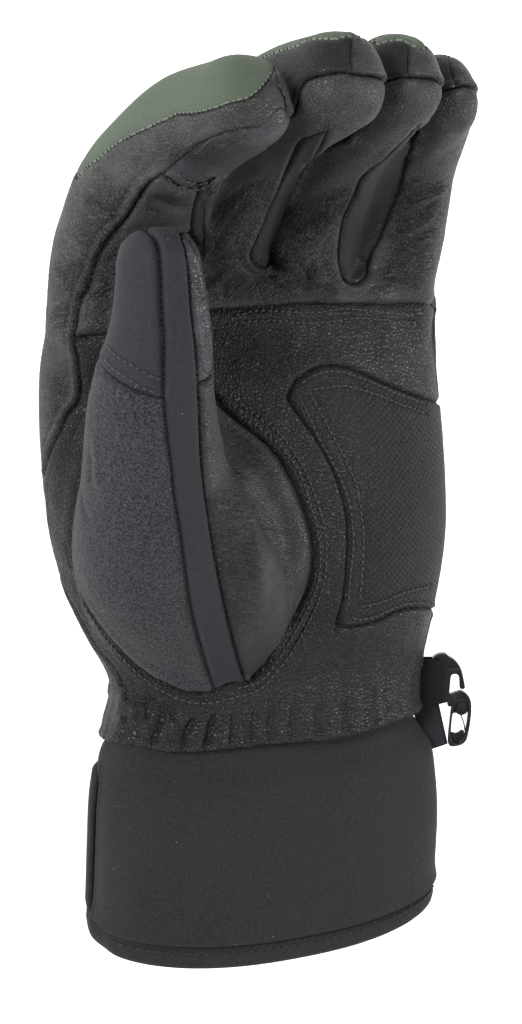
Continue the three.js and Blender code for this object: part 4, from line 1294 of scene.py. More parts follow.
def sewn_rows(names):
    """Stitches along some of the traced rows, each up to where the row leaves the surface in view."""
    face = Surface(shaped, sheets.triangles)
    bodies = []
    for name in names:
        line = STITCH_ROWS[name]
        spots, up = face.trace(line, 160)
        steps = np.linalg.norm(np.diff(spots, axis=0), axis=1)
        if (steps > ROW_JUMP).any():
            cut = np.flatnonzero(steps > ROW_JUMP)[0] + 1
            spots, up = spots[:cut], up[:cut]
        up = np.where((up @ TOWARD)[:, None] < 0, -up, up)
        bodies += stitch_bodies(spots, up)
    return bodies


def edge_ticks(labels, apart=1.35, long=1.1, radius=0.17):
    """Short overlock stitches across the seams round some panels."""
    pairs, one, other = sewn_edges(sheets)
    chosen = np.isin(one, labels) | np.isin(other, labels)
    a, b = (shaped[pairs[chosen, k]] for k in (0, 1))
    up = (shaped_normals[pairs[chosen, 0]] + shaped_normals[pairs[chosen, 1]]) / 2
    taken = set()
    bodies = []
    for start, end, lift in zip(a, b, up):
        middle = (start + end) / 2
        size = np.linalg.norm(end - start)
        cell = tuple((middle / apart).astype(int))
        around = {(cell[0] + i, cell[1] + j, cell[2] + k)
                  for i in (-1, 0, 1) for j in (-1, 0, 1) for k in (-1, 0, 1)}
        crowded = any(np.linalg.norm(middle - np.array(spot)) < apart
                      for near, spot in taken if near in around)
        if size < 1e-6 or middle[2] < 1.0 or crowded:
            continue
        taken.add((cell, tuple(middle)))
        ahead = (end - start) / size
        side = np.cross(ahead, lift)
        side /= np.linalg.norm(side)
        lean = side * 0.9 + ahead * 0.45
        spots = middle + lean * long * np.linspace(-0.5, 0.5, 6)[:, None] + lift * 0.12
        bodies += stitch_bodies(spots, np.tile(lift, (6, 1)), 0.1, long - 0.1, radius)
    return bodies


# Cuff.
CUFF_WALL = 2.8
HEM_HIGH = 7.3
# The mouth is lowest under the palm, a little higher at the little finger, and notched at the binding.
MOUTH_DROP = 5.7
MOUTH_TILT = 1.5
NOTCH = {"high": 8.0, "at": 205.0, "width": 18.0}
BINDING_FROM, BINDING_TO = 188.5, 215.0
BINDING_TOP = 0.5
FRONT_EDGE = 187.0
LIP_HIGH = 2.5
cuff_limb = Limb(CUFF, straight=True)
cuff_angles = np.unique(np.concatenate([np.arange(0, 360, 1.5), np.arange(182, 192, 0.4)]).round(2))


def mouth_rise(degrees):
    """How far the mouth lies above its height on the back, at an angle."""
    turn = np.radians(degrees)
    notch = NOTCH["high"] * np.exp(-((degrees - NOTCH["at"]) / NOTCH["width"]) ** 2)
    return MOUTH_TILT * np.cos(turn) + notch - MOUTH_DROP * np.maximum(0, np.sin(turn)) ** 1.5


def on_cuff(u, degrees, out=0.0, down=0.0):
    """Points of the cuff at places and angles, moved out and down, kept above the floor."""
    degrees = np.atleast_1d(degrees)
    spots = cuff_limb.points(np.broadcast_to(u, degrees.shape), degrees, out=out)
    spots[:, 1] += mouth_rise(degrees) * (1 - np.clip(u, 0, 1)) - down
    spots[:, 2] = np.maximum(spots[:, 2], 0.05)
    return spots


def torus(name, rings):
    """A closed ring-shaped mesh: rings follow each other and come back to the first."""
    rows, sides = len(rings), len(rings[0])
    faces = []
    for i in range(rows):
        for j in range(sides):
            faces.append((i * sides + j, i * sides + (j + 1) % sides,
                          ((i + 1) % rows) * sides + (j + 1) % sides, ((i + 1) % rows) * sides + j))
    return new_object(name, np.concatenate(rings), faces)


def cuff_dent(u):
    """Soft unevenness of the sleeve, and the step where its front edge lies on the binding."""
    turn = np.radians(cuff_angles)
    dent = 0.5 * np.sin(3 * turn + 5 * u) * np.sin(3.1 * u) + 0.3 * np.sin(7 * turn - 6 * u) * smooth(u * 3)
    past = (cuff_angles - FRONT_EDGE) * 0.5
    step = -1.0 * np.exp(-((past - 0.5) / 0.55) ** 2) + 0.3 * np.exp(-((past + 0.9) / 0.8) ** 2)
    return dent + step * smooth((0.62 - u) / 0.1)


def make_cuff():
    """Knitted sleeve whose lower edge is a thin lip over the turned hem."""
    reach = cuff_limb.length
    outer, inner = [], []
    for u in np.concatenate([[0.002, 0.006, 0.012, 0.02, 0.03], np.linspace(0.045, 1, 52)]):
        lift = 0.8 * np.exp(-(u * reach / 2.2) ** 2)
        outer.append(on_cuff(u, cuff_angles, out=cuff_dent(u) + lift))
        wall = CUFF_WALL if u * reach > LIP_HIGH else 1.2
        inner.append(on_cuff(u, cuff_angles, out=cuff_dent(u) * 0.5 - wall))
    profile = [(-1.1, 0.25), (-0.9, 0.5), (-0.5, 0.62), (-0.1, 0.56), (0.45, 0.36), (0.7, 0.12)]
    lip = [on_cuff(0, cuff_angles, out=cuff_dent(0) * 0.8 + out, down=down) for out, down in profile]
    return torus("cuff_sleeve", lip + outer + inner[::-1])


def band_swell(degrees):
    """How far the turned hem stands out where it meets the binding."""
    return 1.6 * smooth((degrees - 176) / 12) * smooth((226 - degrees) / 10)


def make_hem():
    """Turned edge at the mouth: tucked under the sleeve's lip, and rounded where the cloth folds back."""
    profile = [(-1.6, -1.9), (-1.55, -0.6), (-1.5, 0.4), (-1.2, 1.3), (-0.7, 2.2), (-0.4, 3.3), (-0.25, 4.6),
               (-0.4, 5.8), (-0.75, 6.6), (-1.3, 7.1), (-2.0, 7.3), (-2.7, 7.1), (-3.2, 6.4), (-3.3, 5.2),
               (-3.3, 3.4), (-3.2, 1.6), (-3.0, -0.2), (-2.6, -1.7)]
    turn = np.radians(cuff_angles)
    rings = []
    for out, down in profile:
        ripple = 0.12 * np.sin(31 * turn + 0.8 * down) * np.sin(math.pi * np.clip(down / HEM_HIGH, 0, 1))
        outer = smooth((out + 3.0) / 1.2)
        rings.append(on_cuff(0, cuff_angles, out=out + ripple + band_swell(cuff_angles) * outer, down=down))
    return torus("cuff_turned_hem", rings)


def hem_stitches():
    """A row of stitches along the hem, a little below the sleeve's lip."""
    angles = np.linspace(172, 12, 320)
    spots = on_cuff(0, angles, out=-0.36, down=2.6)
    out = on_cuff(0, angles, out=0.64, down=2.6) - spots
    return stitch_bodies(spots, unit(out), **HEM_STITCH)


def make_binding():
    """Turned edge up the thumb side of the cuff, with a rounded top."""
    rings = []
    reach = cuff_limb.length
    for up in np.linspace(-3.0, BINDING_TOP * reach, 76):
        u = max(up, 0.0) / reach
        narrow = math.sqrt(max(1 - max((u - BINDING_TOP + 0.05) / 0.05, 0) ** 2, 0.0))
        middle = (BINDING_FROM + BINDING_TO) / 2
        half = (BINDING_TO - BINDING_FROM) / 2 * max(narrow, 0.03)
        t = np.linspace(0, 2 * math.pi, 28, endpoint=False)
        shape_x = np.sign(np.cos(t)) * np.abs(np.cos(t)) ** 0.5
        shape_y = np.sign(np.sin(t)) * np.abs(np.sin(t)) ** 0.7
        sunk = 1.4 * smooth(-up / 3.0)
        out = -0.2 + 1.9 * narrow * (shape_y + 0.5) / 1.5 - sunk
        rings.append(np.concatenate([on_cuff(u, middle + half * a, out=b, down=max(-up, 0.0))
                                     for a, b in zip(shape_x, out)]))
    points, faces = tube_faces(rings)
    return new_object("cuff_side_binding", points, faces)


# Wrist clip.
CLIP_TURN = math.radians(-30)
CLIP_PLACE = np.array([62.3, 72.3, 30.0])
CLIP_THICK = 3.0
# Outlines of the clip's plates, in pixels.
HOOK_OUTLINE = [(431, 661.5), (433, 656), (438, 653), (445.5, 652.3), (448, 655.5), (453, 658),
                (457.5, 662.5), (461.3, 668.5), (463, 676), (464.2, 682), (465.2, 688), (459.5, 688.7),
                (459.2, 682), (458.9, 676.5), (457.8, 674), (455, 673.3), (452.3, 673.6), (450.8, 675),
                (450.2, 680), (449.6, 687), (449, 692), (450.5, 693.6), (454, 691.8), (458, 690.5),
                (455, 694), (452, 700), (451, 706), (447.5, 706), (446.8, 700), (446, 690), (445, 680),
                (444, 670), (441.5, 663), (438, 658.5), (434.5, 658), (432.5, 661.8)]
RIDGE_OUTLINE = [(446, 667.2), (460.5, 666.4), (461, 668.6), (446.2, 669.4)]
RING_OUTLINE = [(455, 692.5), (459, 689.8), (463, 690.6), (467, 693.8), (470, 698), (471.3, 703),
                (471.2, 712), (469.8, 724), (467.8, 734), (466.2, 740), (462, 744), (456, 745.6),
                (451, 746), (448, 744), (447.6, 738), (448.6, 726), (450, 714), (451.2, 704),
                (452.6, 697)]
RING_HOLE = [(456.8, 701.6), (460, 699.6), (463.5, 699.4), (466.8, 701), (468.3, 704.5), (467.6, 712),
             (466.4, 722), (465, 732), (463.4, 738), (459.5, 742.6), (455.5, 743), (452.4, 741), (451, 737),
             (450.8, 728), (452, 716), (454.2, 707)]
RING_FLOORS = [[(456, 700), (468, 700), (468, 713), (460.8, 716), (455.2, 712.6), (452.5, 714)],
               [(450.5, 731.5), (455.2, 733.2), (458.8, 732), (461, 729.5), (464.8, 731), (464, 744),
                (451, 744)]]
TONGUE_OUTLINE = [(459.2, 713.2), (461.4, 718), (463.6, 724.5), (464.3, 731), (465.4, 731), (464.8, 724),
                  (462.6, 717.5), (460.6, 712.8)]
STRAP_CORNERS = [(404, 704), (447.5, 658)]
TAG_CORNERS = [(409, 700), (437, 694), (448, 744), (426, 751)]
TAG_THICK = 0.3


def clip_to_model(points):
    """Clip points to model points."""
    points = np.asarray(points, float)
    c, s = math.cos(CLIP_TURN), math.sin(CLIP_TURN)
    across, facing = c * points[:, 0] + s * points[:, 2], -s * points[:, 0] + c * points[:, 2]
    return np.stack([across, points[:, 1], facing], 1) + CLIP_PLACE


def on_clip(pixels):
    """Where the sight through pixels meets the clip's middle plane, in clip axes."""
    c, s = math.cos(CLIP_TURN), math.sin(CLIP_TURN)
    across, facing = np.array([c, 0, -s]), np.array([s, 0, c])
    out = []
    for pixel in pixels:
        ray = sight(pixel)
        off = EYE + ray * ((CLIP_PLACE - EYE) @ facing / (ray @ facing)) - CLIP_PLACE
        out.append((off @ across, off[1]))
    return np.array(out)


def rounded(left, low, right, high, radius):
    """Outline of a rectangle with rounded corners."""
    steps = 6
    corners = [(right - radius, high - radius, 0), (left + radius, high - radius, 90),
               (left + radius, low + radius, 180), (right - radius, low + radius, 270)]
    out = []
    for cx, cy, start in corners:
        for k in range(steps + 1):
            a = math.radians(start + 90 * k / steps)
            out.append((cx + radius * math.cos(a), cy + radius * math.sin(a)))
    return out


def bevelled_plates(name, plates):
    """Flat plates in clip axes: each has its outline, its holes, its z range and the bevel of its edges."""
    parts = []
    for outline, holes, low, high, bevel in plates:
        shape = bpy.data.curves.new("plate", "CURVE")
        shape.dimensions = "2D"
        shape.fill_mode = "BOTH"
        shape.extrude = (high - low) / 2 - bevel
        shape.bevel_depth = bevel
        shape.bevel_resolution = 3
        shape.offset = -bevel
        for loop in (outline, *holes):
            spline = shape.splines.new("POLY")
            spline.points.add(len(loop) - 1)
            for point, (px, py) in zip(spline.points, loop):
                point.co = (px, py, 0, 1)
            spline.use_cyclic_u = True
        thing = placed("plate", shape)
        view = thing.evaluated_get(bpy.context.evaluated_depsgraph_get())
        mesh = bpy.data.meshes.new_from_object(view)
        points = np.array([v.co[:] for v in mesh.vertices]) + (0, 0, (low + high) / 2)
        parts.append((points, [tuple(p.vertices) for p in mesh.polygons]))
        bpy.data.objects.remove(thing)
        bpy.data.curves.remove(shape)
        bpy.data.meshes.remove(mesh)
    points, faces = merged(parts)
    return new_object(name, clip_to_model(points), faces, smooth_shade=False)


def loop(pixels, count):
    """A closed outline in clip axes, with its corners a little rounded, running anticlockwise."""
    points = on_clip(pixels)
    for _ in range(2):
        after = np.roll(points, -1, 0)
        points = np.stack([0.8 * points + 0.2 * after, 0.2 * points + 0.8 * after], 1).reshape(-1, 2)
    points = even(np.vstack([points, points[:1]]), count + 1)[:-1]
    after = np.roll(points, -1, 0)
    area = (points[:, 0] * after[:, 1] - after[:, 0] * points[:, 1]).sum()
    return points if area > 0 else points[::-1]


def make_clip():
    """Moulded hook and ring, with a thin floor and a tongue in the ring."""
    half = CLIP_THICK / 2
    plates = [(loop(HOOK_OUTLINE, 120), [], -half, half, 0.35),
              (loop(RIDGE_OUTLINE, 24), [], half - 0.2, half + 0.5, 0.2),
              (loop(RING_OUTLINE, 90), [loop(RING_HOLE, 70)], -half + 0.2, half - 0.2, 0.35)]
    plates += [(loop(outline, 40), [], -half + 0.5, 0.0, 0.2) for outline in RING_FLOORS]
    plates.append((loop(TONGUE_OUTLINE, 40), [], -half + 0.4, half - 0.9, 0.1))
    return bevelled_plates("wrist_clip", plates)


def make_webbing():
    """Ribbed webbing folded round the hook's bar: a closed flat loop with rounded edges."""
    (left, low), (right, high) = on_clip(STRAP_CORNERS)
    deep = CLIP_THICK + 1.4
    path = even(np.array(rounded(left, -deep / 2, right, deep / 2, 1.9)), 150)[:-1]
    ahead = unit(np.roll(path, -1, 0) - np.roll(path, 1, 0))
    out = np.stack([ahead[:, 1], -ahead[:, 0]], 1)
    rings = []
    for t in np.linspace(0, 2 * math.pi, 72, endpoint=False):
        c, s = math.cos(t), math.sin(t)
        across = math.copysign(abs(s) ** 0.3, s)
        off = 0.6 * math.copysign(abs(c) ** 0.5, c) * (1 + 0.1 * math.cos(across * 26))
        narrow = 1 - 0.12 * smooth((path[:, 0] - right + 5) / 5)
        wide = (low + high) / 2 + (high - low) / 2 * across * narrow
        flat = path + out * off
        rings.append(clip_to_model(np.column_stack([flat[:, 0], wide, flat[:, 1]])))
    return torus("clip_strap", rings)


def make_tag():
    """Cloth label folded like a book at its outer edge, and a little curled."""
    corners = on_clip(TAG_CORNERS)
    rows, cols = 26, 40
    faces_out = []
    for side in (0.5, -0.5):
        sheet = []
        for v in np.linspace(0, 1, rows):
            for u in np.linspace(0, 1, cols):
                fold = 2 * u - 1
                turn = abs(fold) ** 1.02
                spot = ((1 - v) * (corners[0] * turn + corners[1] * (1 - turn))
                        + v * (corners[3] * turn + corners[2] * (1 - turn)))
                edge = 1 - min(abs(fold) * 6, 1)
                gap = 0.55 * math.copysign(1 - edge ** 2, fold)
                curl = 0.5 * math.sin(math.pi * v) + 0.25 * turn
                flat = side * TAG_THICK
                lift = curl - 0.9 - gap - flat * math.copysign(1 - edge, fold)
                sheet.append((spot[0] - flat * edge, spot[1], lift))
        faces_out.append(sheet)
    points = clip_to_model(np.array(faces_out[0] + faces_out[1]))
    faces = []
    count = rows * cols
    for i in range(rows - 1):
        for j in range(cols - 1):
            a, b = i * cols + j, (i + 1) * cols + j
            faces.append((a, b, b + 1, a + 1))
            faces.append((count + a, count + a + 1, count + b + 1, count + b))
    ring = (list(range(cols)) + [i * cols + cols - 1 for i in range(1, rows)]
            + [(rows - 1) * cols + j for j in range(cols - 2, -1, -1)]
            + [i * cols for i in range(rows - 2, 0, -1)])
    for a, b in zip(ring, ring[1:] + ring[:1]):
        faces.append((a, a + count, b + count, b))
    return new_object("cloth_tag", points, faces)


# Materials.
LEATHER_SHINE = 0.25
CLOTH_SHINE = 0.15
# Dents of the palm overlay: their pitch in millimetres, and in metres where their arcs are lowest and how
# strongly they bend.
EMBOSS_PITCH = (2.2, 1.9)
EMBOSS_LOW_X = 0.04
EMBOSS_ARC = 9.0


class Look:
    """A node material built step by step."""

    def __init__(self, name, roughness, base, specular=0.5):
        self.material = bpy.data.materials.new(name)
        self.material.use_nodes = True
        self.nodes = self.material.node_tree.nodes
        self.links = self.material.node_tree.links
        self.shader = self.nodes["Principled BSDF"]
        self.shader.inputs["Roughness"].default_value = roughness
        self.shader.inputs["Base Color"].default_value = (*base, 1)
        self.shader.inputs["Specular IOR Level"].default_value = specular
        self.place = self.nodes.new("ShaderNodeTexCoord").outputs["Object"]

    def node(self, kind, values=None, **settings):
        made = self.nodes.new("ShaderNode" + kind)
        for key, value in settings.items():
            setattr(made, key, value)
        for key, value in (values or {}).items():
            if isinstance(value, bpy.types.NodeSocket):
                self.links.new(value, made.inputs[key])
            else:
                made.inputs[key].default_value = value
        return made

    def noise(self, size, detail=3.0, rough=0.55):
        """Noise whose lumps are about size millimetres."""
        values = {"Scale": 1000 / size, "Detail": detail, "Roughness": rough, "Vector": self.place}
        return self.node("TexNoise", values).outputs["Fac"]

    def cells(self, size, feature="F1", place=None):
        """Distances in a pattern of cells about size millimetres wide."""
        values = {"Scale": 1000 / size, "Vector": place or self.place}
        return self.node("TexVoronoi", values, feature=feature).outputs["Distance"]

    def maths(self, kind, a, b=0.0):
        return self.node("Math", {0: a, 1: b}, operation=kind).outputs[0]

    def plus(self, a, b):
        return self.maths("ADD", a, b)

    def minus(self, a, b):
        return self.maths("SUBTRACT", a, b)

    def times(self, a, b):
        return self.maths("MULTIPLY", a, b)

    def mapped(self, value, low, high, to_low=0.0, to_high=1.0):
        values = {"Value": value, "From Min": low, "From Max": high, "To Min": to_low, "To Max": to_high}
        return self.node("MapRange", values).outputs["Result"]

    def mixed(self, amount, a, b):
        """Colour from a to b; a colour Mix node has its colours on sockets 6 and 7, and gives output 2."""
        made = self.node("Mix", data_type="RGBA")
        for index, value in ((0, amount), (6, a), (7, b)):
            if isinstance(value, bpy.types.NodeSocket):
                self.links.new(value, made.inputs[index])
            else:
                made.inputs[index].default_value = value if index == 0 else (*value, 1)
        return made.outputs[2]

    def grains(self, size, place=None, crease=0.3):
        """Rounded grains of leather: 1 on their tops, 0 in the creases between them."""
        edge = self.cells(size, "DISTANCE_TO_EDGE", place)
        top = self.node("MapRange", {"Value": edge, "From Min": 0.01, "From Max": crease},
                        interpolation_type="SMOOTHSTEP").outputs["Result"]
        return self.times(top, self.mapped(self.noise(2.0, 2), 0.3, 0.7, 0.45, 1.0))

    def warped(self, size=3.0, reach=0.5):
        """Places pushed about by noise, in millimetres."""
        values = {"Scale": 1000 / size, "Detail": 2.0, "Vector": self.place}
        wander = self.node("TexNoise", values).outputs["Color"]
        off = self.node("VectorMath", {0: wander, 1: (reach / 1000,) * 3}, operation="MULTIPLY").outputs[0]
        return self.node("VectorMath", {0: self.place, 1: off}, operation="ADD").outputs[0]

    def beside_seam(self):
        """About 1 at a panel's seams, 0 away from them."""
        return self.node("Attribute", attribute_name="rim").outputs["Fac"]

    def bump(self, height, distance, strength=1.0, under=None):
        values = {"Height": height, "Distance": distance / 1000, "Strength": strength}
        if under is not None:
            values["Normal"] = under
        return self.node("Bump", values).outputs["Normal"]

    def finish(self, color=None, roughness=None, normal=None):
        for key, value in (("Base Color", color), ("Roughness", roughness), ("Normal", normal)):
            if value is not None:
                self.links.new(value, self.shader.inputs[key])
        return self.material


def creased_height(look, size=1.1, stretch=5.0):
    """Long narrow creases that follow the panel's crease map."""
    run = look.node("UVMap", uv_map="run").outputs["UV"]
    scale = (10 / size / stretch, 10 / size, 1)
    flat = look.node("Mapping", {"Vector": run, "Scale": scale}).outputs["Vector"]
    values = {"Vector": flat, "Scale": 1.0, "Detail": 3.0, "Roughness": 0.6, "Distortion": 0.5}
    wander = look.node("TexNoise", values).outputs["Fac"]
    weight = look.node("Attribute", attribute_name="creased").outputs["Fac"]
    ridge = look.maths("ABSOLUTE", look.minus(wander, 0.5))
    return look.times(look.maths("MINIMUM", look.times(ridge, 6.0), 1.0), weight)


def leather(name, dark, light, grain=1.0, deep=0.2, rough=0.5, even_grain=0.35, crease=0.7,
            gap=0.17, fold_shade=0.3):
    """Grained leather whose grain stands out in patches and creases, with painted highlights on the grain
    tops and painted shade between the grains, in the creases and at the seams.
    """
    look = Look(name, rough, dark, LEATHER_SHINE)
    grains = look.grains(grain, look.warped(), gap)
    creased = look.node("Attribute", attribute_name="creased").outputs["Fac"]
    patches = look.mapped(look.noise(9, 3), 0.35, 0.65, even_grain, 1.0)
    strong = look.maths("MINIMUM", look.plus(patches, look.times(creased, 0.7)), 1.2)
    ridges = creased_height(look)
    normal = look.bump(look.noise(0.35, 3), 0.03)
    normal = look.bump(look.times(grains, strong), deep, 1.0, normal)
    normal = look.bump(ridges, crease, 1.0, normal)
    # Painted shade in the creases between the grains, stronger where the grain stands out.
    low = look.times(look.minus(1.0, grains), look.times(strong, 0.45))
    # Painted highlight: pale specks on the grain tops that stand in for glints of light.
    painted_glints = look.times(grains, look.mapped(look.noise(1.5, 2), 0.48, 0.7))
    shade = look.minus(look.mapped(look.noise(16, 3), 0.3, 0.7, 0.52, 0.7), low)
    shade = look.plus(shade, look.times(look.times(painted_glints, strong), 0.4))
    # Painted shade along the fine creases, as much as fold_shade says.
    shade = look.minus(shade, look.times(look.minus(creased, ridges), fold_shade))
    # Painted shade along the seams.
    shade = look.minus(shade, look.times(look.beside_seam(), 0.4))
    polish = look.mapped(grains, 0.0, 1.0, rough + 0.15, rough - 0.05)
    return look.finish(look.mixed(look.mapped(shade, 0.0, 1.0), dark, light), polish, normal)


def embossed_leather():
    """Palm overlay: grained leather with rows of small dents, in arcs that grow towards the outer side;
    painted highlight on the grain tops, painted shade in the dents and at the seams.
    """
    look = Look("embossed_leather", 0.5, (0.02, 0.02, 0.02), LEATHER_SHINE)
    x, y, _ = look.node("SeparateXYZ", {0: look.place}).outputs
    from_middle = look.minus(x, EMBOSS_LOW_X)
    arc = look.times(look.times(from_middle, from_middle), EMBOSS_ARC)
    rows = look.times(look.minus(y, arc), 2 * math.pi * 1000 / EMBOSS_PITCH[1])
    columns = look.times(look.plus(x, look.times(y, 0.12)), 2 * math.pi * 1000 / EMBOSS_PITCH[0])
    dents = look.mapped(look.times(look.maths("SINE", rows), look.maths("SINE", columns)), 0.1, 0.6)
    outer = look.mapped(look.plus(x, look.times(look.noise(14, 2), 0.01)), 0.024, 0.036)
    dents = look.times(dents, outer)
    grains = look.times(look.grains(0.85, look.warped()), look.mapped(outer, 0, 1, 1.0, 0.45))
    normal = look.bump(look.noise(0.35, 3), 0.04)
    normal = look.bump(grains, 0.4, 1.0, normal)
    normal = look.bump(dents, -1.0, 1.0, normal)
    # Painted highlight on the grain tops and painted shade in the dents.
    shade = look.minus(look.mapped(grains, 0.0, 0.8, 0.2, 0.9), look.times(dents, 1.0))
    # Painted shade along the seams.
    shade = look.minus(shade, look.times(look.beside_seam(), 0.4))
    color = look.mixed(look.mapped(shade, 0.0, 1.0), (0.0006, 0.0006, 0.0006), (0.0145, 0.0145, 0.0148))
    return look.finish(color, look.mapped(grains, 0.0, 1.0, 0.65, 0.48), normal)


def lint(look, color, apart):
    """Sparse tiny pale specks."""
    spot = look.cells(apart, "F1")
    return look.mixed(look.mapped(spot, 0.022, 0.032, 0.8, 0.0), color, (0.35, 0.35, 0.36))


def cloth(name, dark, light, size=0.5, rough=0.85, deep=0.06, sheen=0.03, contrast=0.15, specks=0.0,
          cut_edge=None):
    """Cloth with a fine grain, sparse specks that far apart, and where it is given a paler cut edge;
    elsewhere its seams get painted shade.
    """
    look = Look(name, rough, dark, CLOTH_SHINE)
    look.shader.inputs["Sheen Weight"].default_value = sheen
    look.shader.inputs["Sheen Roughness"].default_value = 0.5
    fine = look.noise(size, 3, 0.6)
    broad = look.noise(20, 3)
    speck = look.mixed(look.mapped(fine, 0.5 - contrast, 0.5 + contrast), dark, light)
    color = look.mixed(look.mapped(broad, 0.25, 0.75, 0.0, 0.3), speck, light)
    if specks:
        color = lint(look, color, specks)
    edge = look.beside_seam()
    if cut_edge:
        color = look.mixed(look.mapped(edge, 0.3, 0.7, 0.0, 0.6), color, cut_edge)
    else:
        # Painted shade along the seams where no cut edge is given.
        color = look.mixed(look.mapped(edge, 0.4, 0.9, 0.0, 0.85), color, (0.002, 0.002, 0.002))
    return look.finish(color, None, look.bump(fine, deep, 1.0))


def plastic():
    look = Look("clip_plastic", 0.28, (0.006, 0.006, 0.007))
    polish = look.mapped(look.noise(4, 2), 0.3, 0.7, 0.27, 0.4)
    return look.finish(None, polish, look.bump(look.noise(0.5, 3), 0.02, 0.6))


def thread(name, color, shine):
    look = Look(name, 0.5, color, shine)
    return look.finish(None, None, look.bump(look.noise(0.25, 2), 0.05, 1.0))


MATERIALS = {
    "softshell": cloth("green_softshell", (0.033, 0.0437, 0.031), (0.083, 0.1025, 0.078), 0.45, 0.85, 0.1,
                       contrast=0.3, cut_edge=(0.22, 0.25, 0.21)),
    "leather": leather("smooth_leather", (0.002, 0.002, 0.002), (0.052, 0.052, 0.05)),
    # The leather between the fingers is a darker copy of the smooth leather: painted shade for the deep
    # channels.
    "fourchette": leather("shade_painted_leather", (0.001, 0.001, 0.001), (0.013, 0.013, 0.013), 0.9, 0.15),
    # A slightly darker copy of the smooth leather: painted shade for the hollow beside the thumb.
    "gusset": leather("gusset_leather", (0.002, 0.002, 0.002), (0.042, 0.042, 0.0402), 0.8, 0.2,
                      fold_shade=0.05),
    "touch": leather("touch_leather", (0.006, 0.006, 0.008), (0.06, 0.06, 0.068), 0.8, 0.25, 0.42, 0.3),
    "palm": leather("pebbled_leather", (0.001, 0.001, 0.001), (0.021, 0.021, 0.0207), 1.05, 0.45, 0.47, 0.9,
                    gap=0.24),
    "emboss": embossed_leather(),
    "shell": cloth("dark_softshell", (0.0115, 0.012, 0.0145), (0.022, 0.0232, 0.027), 0.5, 0.75, 0.12,
                   specks=4.5),
    "fleece": cloth("grey_fleece", (0.003, 0.0029, 0.0035), (0.042, 0.0405, 0.0465), 0.6, 0.95, 0.45, 0.06,
                    0.13, specks=5.0),
    "neoprene": cloth("charcoal_knit", (0.0085, 0.0085, 0.0098), (0.0195, 0.0195, 0.0215), 0.6, 0.85, 0.18,
                      specks=4.0),
    "plastic": plastic(),
    "webbing": cloth("black_webbing", (0.002, 0.002, 0.0025), (0.007, 0.007, 0.0075), 0.5, 0.85, 0.1),
    "label": cloth("label_cloth", (0.012, 0.0102, 0.0132), (0.024, 0.0204, 0.0258), 0.4, 0.8, 0.1),
    "thread": thread("black_thread", (0.012, 0.012, 0.014), 0.3),
    # Paler than the black thread: a painted highlight for the glints on the sewn rows, and its extra shine is
    # real specular.
    "waxed_thread": thread("waxed_thread", (0.022, 0.022, 0.024), 0.45),
}

# Each sewn panel: its finish, the record's slot, and the solids that it stands for.
PANELS = {
    "hand_back": ("softshell", "softshell", ["hand_back", *(name + "_back" for name in FINGER_NAMES)]),
    "palm_leather": ("leather", "leather", ["palm_leather"] + [name + "_palm" for name in FINGER_NAMES]),
    "index_touch_pad": ("touch", "touch_leather", ["index_touch_pad"]),
    "palm_patch": ("palm", "palm_leather", ["palm_patch", "wrist_gather"]),
    "heel_patch": ("emboss", "palm_leather", ["heel_patch"]),
    "hand_edge": ("leather", "leather", ["hand_edge", "index_side_near"]),
    "fourchette_1": ("fourchette", "leather", ["index_side_far", "middle_side_near"]),
    "fourchette_2": ("fourchette", "leather", ["middle_side_far", "ring_side_near"]),
    "fourchette_3": ("fourchette", "leather", ["ring_side_far", "little_side_near"]),
    "little_side": ("leather", "leather", ["little_side_far"]),
    "thumb_wipe": ("fleece", "fleece", ["thumb_wipe"]),
    "thumb_tip": ("shell", "dark_shell", ["thumb_tip"]),
    "thumb_strip": ("shell", "dark_shell", ["thumb_strip"]),
    "thumb_inner": ("gusset", "leather", ["thumb_inner"]),
    "thumb_edge": ("touch", "touch_leather", ["thumb_edge"]),
    **{name + "_tip": ("leather", "leather", [name + "_tip"]) for name in FINGER_NAMES},
}


def finish_piece(piece, look, nodes):
    """Gives a piece its material and body, and hides the solids that it replaces."""
    piece.data.materials.clear()
    piece.data.materials.append(MATERIALS[look])
    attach(piece, "root")
    if nodes:
        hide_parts(*nodes)


STITCHED = {
    "palm_stitches": ["palm_upper", "palm_lower", "keyhole_1", "keyhole_2"],
    "heel_stitches": [f"heel_{side}_{k}" for side in ("top", "side", "low") for k in (1, 2)],
    "thumb_stitches": ["hem_upper", "hem_lower", "strip_left", "thumb_tab_1", "thumb_tab_2"],
    "index_stitches": ["pad_outer", "pad_inner", "index_end"],
}
for name, rows in STITCHED.items():
    finish_piece(joined(name, sewn_rows(rows)), "waxed_thread", [])
finish_piece(joined("hem_stitches", hem_stitches()), "thread", [])
finish_piece(joined("back_ticks", edge_ticks(["hand_back"])), "thread", [])
finish_piece(joined("thumb_ticks", edge_ticks(["thumb_strip", "thumb_edge"], THUMB_TICKS_APART)), "thread",
             [])
JOINED_LABELS = {"palm_patch": ["palm_patch", "wrist_gather"], "hand_back": ["hand_back", "gather_back"]}
for label, (look, slot, nodes) in PANELS.items():
    finish_piece(panel("sewn_" + label, JOINED_LABELS.get(label, [label])), look, nodes)
finish_piece(make_cuff(), "neoprene", ["cuff"])
finish_piece(make_hem(), "neoprene", ["cuff_hem"])
finish_piece(make_binding(), "neoprene", ["cuff_binding"])
finish_piece(make_clip(), "plastic", ["clip"])
finish_piece(make_webbing(), "webbing", ["clip_webbing"])
tag = make_tag()
finish_piece(tag, "label", ["tag"])


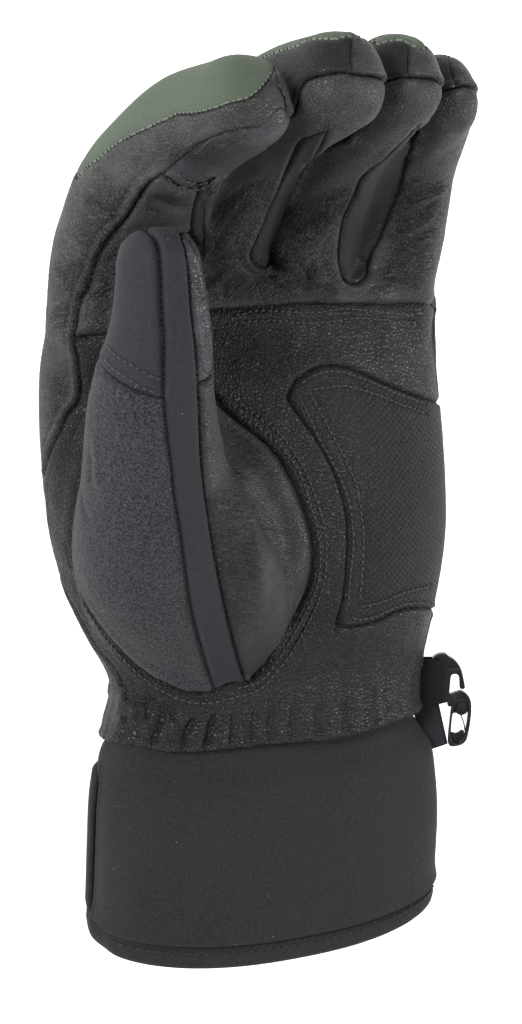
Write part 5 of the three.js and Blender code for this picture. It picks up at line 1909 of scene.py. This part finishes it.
# Floor, light and camera.
# Each light: name, place in metres, diameter and watts; they all aim a little above the floor.
LIGHTS = [
    ("key", (-0.95, 0.3, 0.65), 0.35, 18),
    ("low", (0.0, -0.95, 0.7), 0.5, 8),
    ("fill", (0.95, 0.0, 0.6), 0.4, 11),
    ("top", (0.1, 0.9, 0.9), 0.6, 4),
]
LIGHT_AIM = Vector((0, 0, 0.03))
SKY_STRENGTH = 0.13
FLOOR_HALF = 3
FLOOR_GLOW = 0.5
SENSOR_WIDTH = 36


def area_light(name, at, size, watts):
    data = bpy.data.lights.new(name, "AREA")
    data.shape = "DISK"
    data.size = size
    data.energy = watts
    lamp = placed(name, data)
    lamp.location = at
    lamp.rotation_euler = (LIGHT_AIM - Vector(at)).to_track_quat("-Z", "Y").to_euler()


def make_floor():
    mesh = bpy.data.meshes.new("floor")
    corners = [(FLOOR_HALF * i, FLOOR_HALF * j, 0) for i, j in ((-1, -1), (1, -1), (1, 1), (-1, 1))]
    mesh.from_pydata(corners, [], [(0, 1, 2, 3)])
    floor = placed("floor", mesh)
    look = Look("pale_floor", 0.9, (0.92, 0.92, 0.92))
    look.shader.inputs["Emission Color"].default_value = (1, 1, 1, 1)
    look.shader.inputs["Emission Strength"].default_value = FLOOR_GLOW
    floor.data.materials.append(look.finish())


def make_camera():
    data = bpy.data.cameras.new("camera")
    data.sensor_width = SENSOR_WIDTH
    data.lens = FOCAL * SENSOR_WIDTH / PICTURE[1]
    data.clip_start = 0.05
    camera = placed("camera", data)
    turned = Matrix((RIGHT, UP, TOWARD)).transposed().to_4x4()
    camera.matrix_world = Matrix.Translation((EYE - ORIGIN) / 1000) @ turned
    bpy.context.scene.camera = camera


make_floor()
for light in LIGHTS:
    area_light(*light)
world = bpy.data.worlds.new("studio")
world.use_nodes = True
world.node_tree.nodes["Background"].inputs["Color"].default_value = (1, 1, 1, 1)
world.node_tree.nodes["Background"].inputs["Strength"].default_value = SKY_STRENGTH
bpy.context.scene.world = world
bpy.context.scene.view_settings.view_transform = "Standard"
make_camera()
